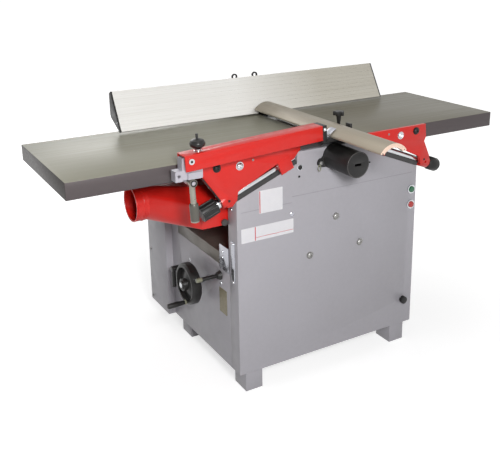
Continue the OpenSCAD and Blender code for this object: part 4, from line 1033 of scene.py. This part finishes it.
def knob_rings():
    """Bright collars between the brackets and the two adjusting grips."""
    for side, body, s0, length in ((-1, "outfeed_knob", 293.4, 13.0), (1, "infeed_handle", 293.2, 4.2)):
        axis = Vector((side * math.cos(WAY_A), 0, -math.sin(WAY_A)))
        ring = [(13, 0), (15.5, 0), (15.9, 0.8), (15.9, length - 0.8), (15.5, length), (13, length)]
        turned_piece(body + "_collar", body, "steel", way_place(side, s0, 23, 12), axis, ring,
                     steps=48, ring=True)


# Trim on the hood and the controls
PORT_Y = 265
PORT_D = 193
# Each port bead's place, radius, rise and half width
PORT_BEADS = ((-622.5, 58.4, 2.6, 3.2), (-598, 59.6, 1.9, 2.4))
BEAD_STEPS = 12
HOOD_STOP_PROFILE = [(0, 0), (11, 0), (11.5, 1), (11.5, 7), (9.5, 10), (0, 10.6)]
ROD_TIP_PROFILE = [(0, 0), (6.6, 0), (7.6, 1), (7.6, 19), (7.0, 20), (0, 20)]
WHEEL_Y = 262
WHEEL_D = 525
CRANK_R = 65
CRANK_A = math.radians(-8)
FERRULE_PROFILE = [(6, 0), (8.4, 0), (8.9, 0.8), (8.9, 4.6), (8.4, 5.4), (6, 5.4)]
WHEEL_CAP_PROFILE = [(0, 0), (9.5, 0), (9.5, 1), (8, 2.4), (5, 3.2), (0, 3.5)]
CLAMP_HUB = at(-545, -47, 48)
CLAMP_LEAN = math.radians(3)
GRIP_START = 66
GRIP_PROFILE = [(0, 0), (12.2, 0), (13.8, 2.5), (14, 8), (13.6, 50), (12.6, 57), (9, 60), (0, 60.4)]
COLLAR_SEAT = 13
COLLAR_PROFILE = [(6.6, 0), (10.5, 0), (10.5, 1.2), (9.6, 2), (6.6, 2)]


def hood_trim():
    """The rolled mouth and bead of the port, and the rubber stop on the hood's side."""
    beads = Shape()
    for u, radius, rise, half in PORT_BEADS:
        section = []
        for i in range(BEAD_STEPS):
            t = 2 * math.pi * i / BEAD_STEPS
            section.append((radius + rise * math.cos(t), half * math.sin(t)))
        beads.turned(at(u, PORT_Y, PORT_D), RIGHT, section, 72, True)
    beads.piece("port_beads", "dust_hood", "red_paint", angle=60.0)
    turned_piece("hood_stop", "dust_hood", "black_plastic", at(-384, 66.4, 241), FRONT,
                 HOOD_STOP_PROFILE, GRIP_DARK)


def control_trim():
    """Feed rod tip, crank ferrule, wheel cap, and the clamp lever's grip and collar."""
    turned_piece("feed_rod_tip", "feed_rod", "black_plastic", at(-462.8, 128, 455), RIGHT,
                 ROD_TIP_PROFILE, TIP_OLIVE)
    crank_y = WHEEL_Y + CRANK_R * math.sin(CRANK_A)
    crank_d = WHEEL_D + CRANK_R * math.cos(CRANK_A)
    turned_piece("crank_ferrule", "crank_grip", "steel", at(-448.9, crank_y, crank_d), LEFT,
                 FERRULE_PROFILE, TIP_OLIVE, 32, True)
    turned_piece("handwheel_cap", "handwheel", "steel", at(-460.5, WHEEL_Y, WHEEL_D), LEFT,
                 WHEEL_CAP_PROFILE, steps=48)
    down = Vector((math.sin(CLAMP_LEAN), 0, -math.cos(CLAMP_LEAN)))
    turned_piece("clamp_lever_grip", "clamp_lever", "black_plastic", CLAMP_HUB + down * mm(GRIP_START),
                 down, GRIP_PROFILE, LEVER_GRIP)
    turned_piece("clamp_lever_collar", "clamp_lever", "black_plastic", CLAMP_HUB + FRONT * mm(COLLAR_SEAT),
                 FRONT, COLLAR_PROFILE, ring=True)


# Trim on the guard
ARM_TILT = math.radians(3.2)
ARM_UP = Vector((-math.sin(ARM_TILT), 0, math.cos(ARM_TILT)))
PIVOT_U = -554.5
PIVOT_RISE = 23
KNOB_COLLAR_PROFILE = [(6, 0), (12.5, 0), (12.5, 1.4), (9.8, 2.2), (9.6, 6.6), (6, 6.8)]
CARRIAGE_BOLT = bolt_size(5, 3.4, 2.1, 6, 0.8)
CROSS_SOCKET_SHADE_PROFILE = [(0, 0), (4.2, 0), (4.2, 0.4), (3.4, 0.6), (2.8, 0.25), (0, 0.2)]
HOOK_OUTLINE = [(-76, 20.2), (-50.5, 20.2), (-50.5, 28), (-40, 36.8), (-28, 44.4), (-29, 47.6),
                (-41, 40.5), (-52, 33), (-76, 33)]
HOOK_THICK = 30
ARCH_A = math.radians(52)
ARCH_HALF = 48
ARCH_TOP = 44.8
ARCH_FALL = 24
LIP_SHRINK = 0.86
LIP_DEPTH = 8.5
LIP_THICK = 12.6
CLIP_OUTLINE = rounded(0, 9.5, 0, 26, 2)
CLIP_THICK = 26


def arm_place(along, y, rise):
    """A place on the guard arm, measured from its pivot."""
    u = PIVOT_U + along * math.cos(ARM_TILT) - rise * math.sin(ARM_TILT)
    return at(u, y, -(PIVOT_RISE + along * math.sin(ARM_TILT) + rise * math.cos(ARM_TILT)))


def arch_point(degrees):
    """A point under the guard's arch, by its turn from the middle."""
    t = math.radians(degrees)
    fall = ARCH_FALL * (1 - math.cos(t)) / (1 - math.cos(ARCH_A))
    return ARCH_HALF * math.sin(t) / math.sin(ARCH_A), ARCH_TOP - fall


def guard_trim():
    """Height knob collar, carriage bolt, cross bolt socket painted as a black hexagon of shade, clamp hook,
    end lip and edge clip.
    """
    turned_piece("height_knob_collar", "guard_arm", "steel", arm_place(36.5, -43, 18.6), ARM_UP,
                 KNOB_COLLAR_PROFILE, ring=True)
    SOCKET_BOLTS.piece("carriage_bolt", "guard_arm", "steel", None, CARRIAGE_BOLT,
                       [(arm_place(469.5, -70, 6), FRONT)])
    # painted shade: a thin black hexagon stands for the shade inside the bolt's socket
    turned_piece("cross_bolt_socket_shade", "guard_arm", "black_plastic", arm_place(0, -75, 0), FRONT,
                 CROSS_SOCKET_SHADE_PROFILE, steps=6)
    slab_piece("guard_clamp_hook", "guard_arm", "steel", at(0, -22, 0), ON_FRONT,
               HOOK_OUTLINE, HOOK_THICK, PLATE_BRIGHT, 0.5)
    crescent = [arch_point(degrees) for degrees in range(-44, 45, 4)]
    inner = [(x * LIP_SHRINK, z - LIP_DEPTH) for x, z in reversed(crescent)]
    slab_piece("guard_end_lip", "bridge_guard", "guard_alloy", at(0, -292, 0), ON_FRONT,
               crescent + inner, LIP_THICK)
    slab_piece("guard_edge_clip", "guard_arm", "black_plastic", at(50.2, -22, -20), ON_TOP,
               CLIP_OUTLINE, CLIP_THICK, None, 0.8)


# Trim on the fence
FENCE_LEAN = math.radians(30)
FENCE_Y = 452
FENCE_RISE = 8.5
FENCE_ENDS = (("left", LEFT, -582), ("right", RIGHT, 563))
CAP_SOCKET_PROFILE = [(0, 0), (5, 0), (5, 0.5), (4, 0.9), (3.2, 0.3), (0, 0.2)]


def fence_place(u, across, up):
    """A place on the leaning fence: across its thickness and up its face."""
    c = math.cos(FENCE_LEAN)
    k = math.sin(FENCE_LEAN)
    return at(u, FENCE_Y + across * c + up * k, -(FENCE_RISE - across * k + up * c))


def fence_cap_trim():
    """A socket near the top and a bright screw near the bottom of each fence end cap."""
    for end, side, u in FENCE_ENDS:
        turned_piece(end + "_cap_socket", "fence", "black_plastic", fence_place(u, 6, 108), side,
                     CAP_SOCKET_PROFILE, GRIP_DARK)
        PRESSINGS.piece(end + "_cap_screw", "fence", "steel", None, SMALL_RIVET,
                        [(fence_place(u, 0, 30), side)])


bracket_trim()
edge_strip()
knob_rings()
hood_trim()
control_trim()
guard_trim()
fence_cap_trim()
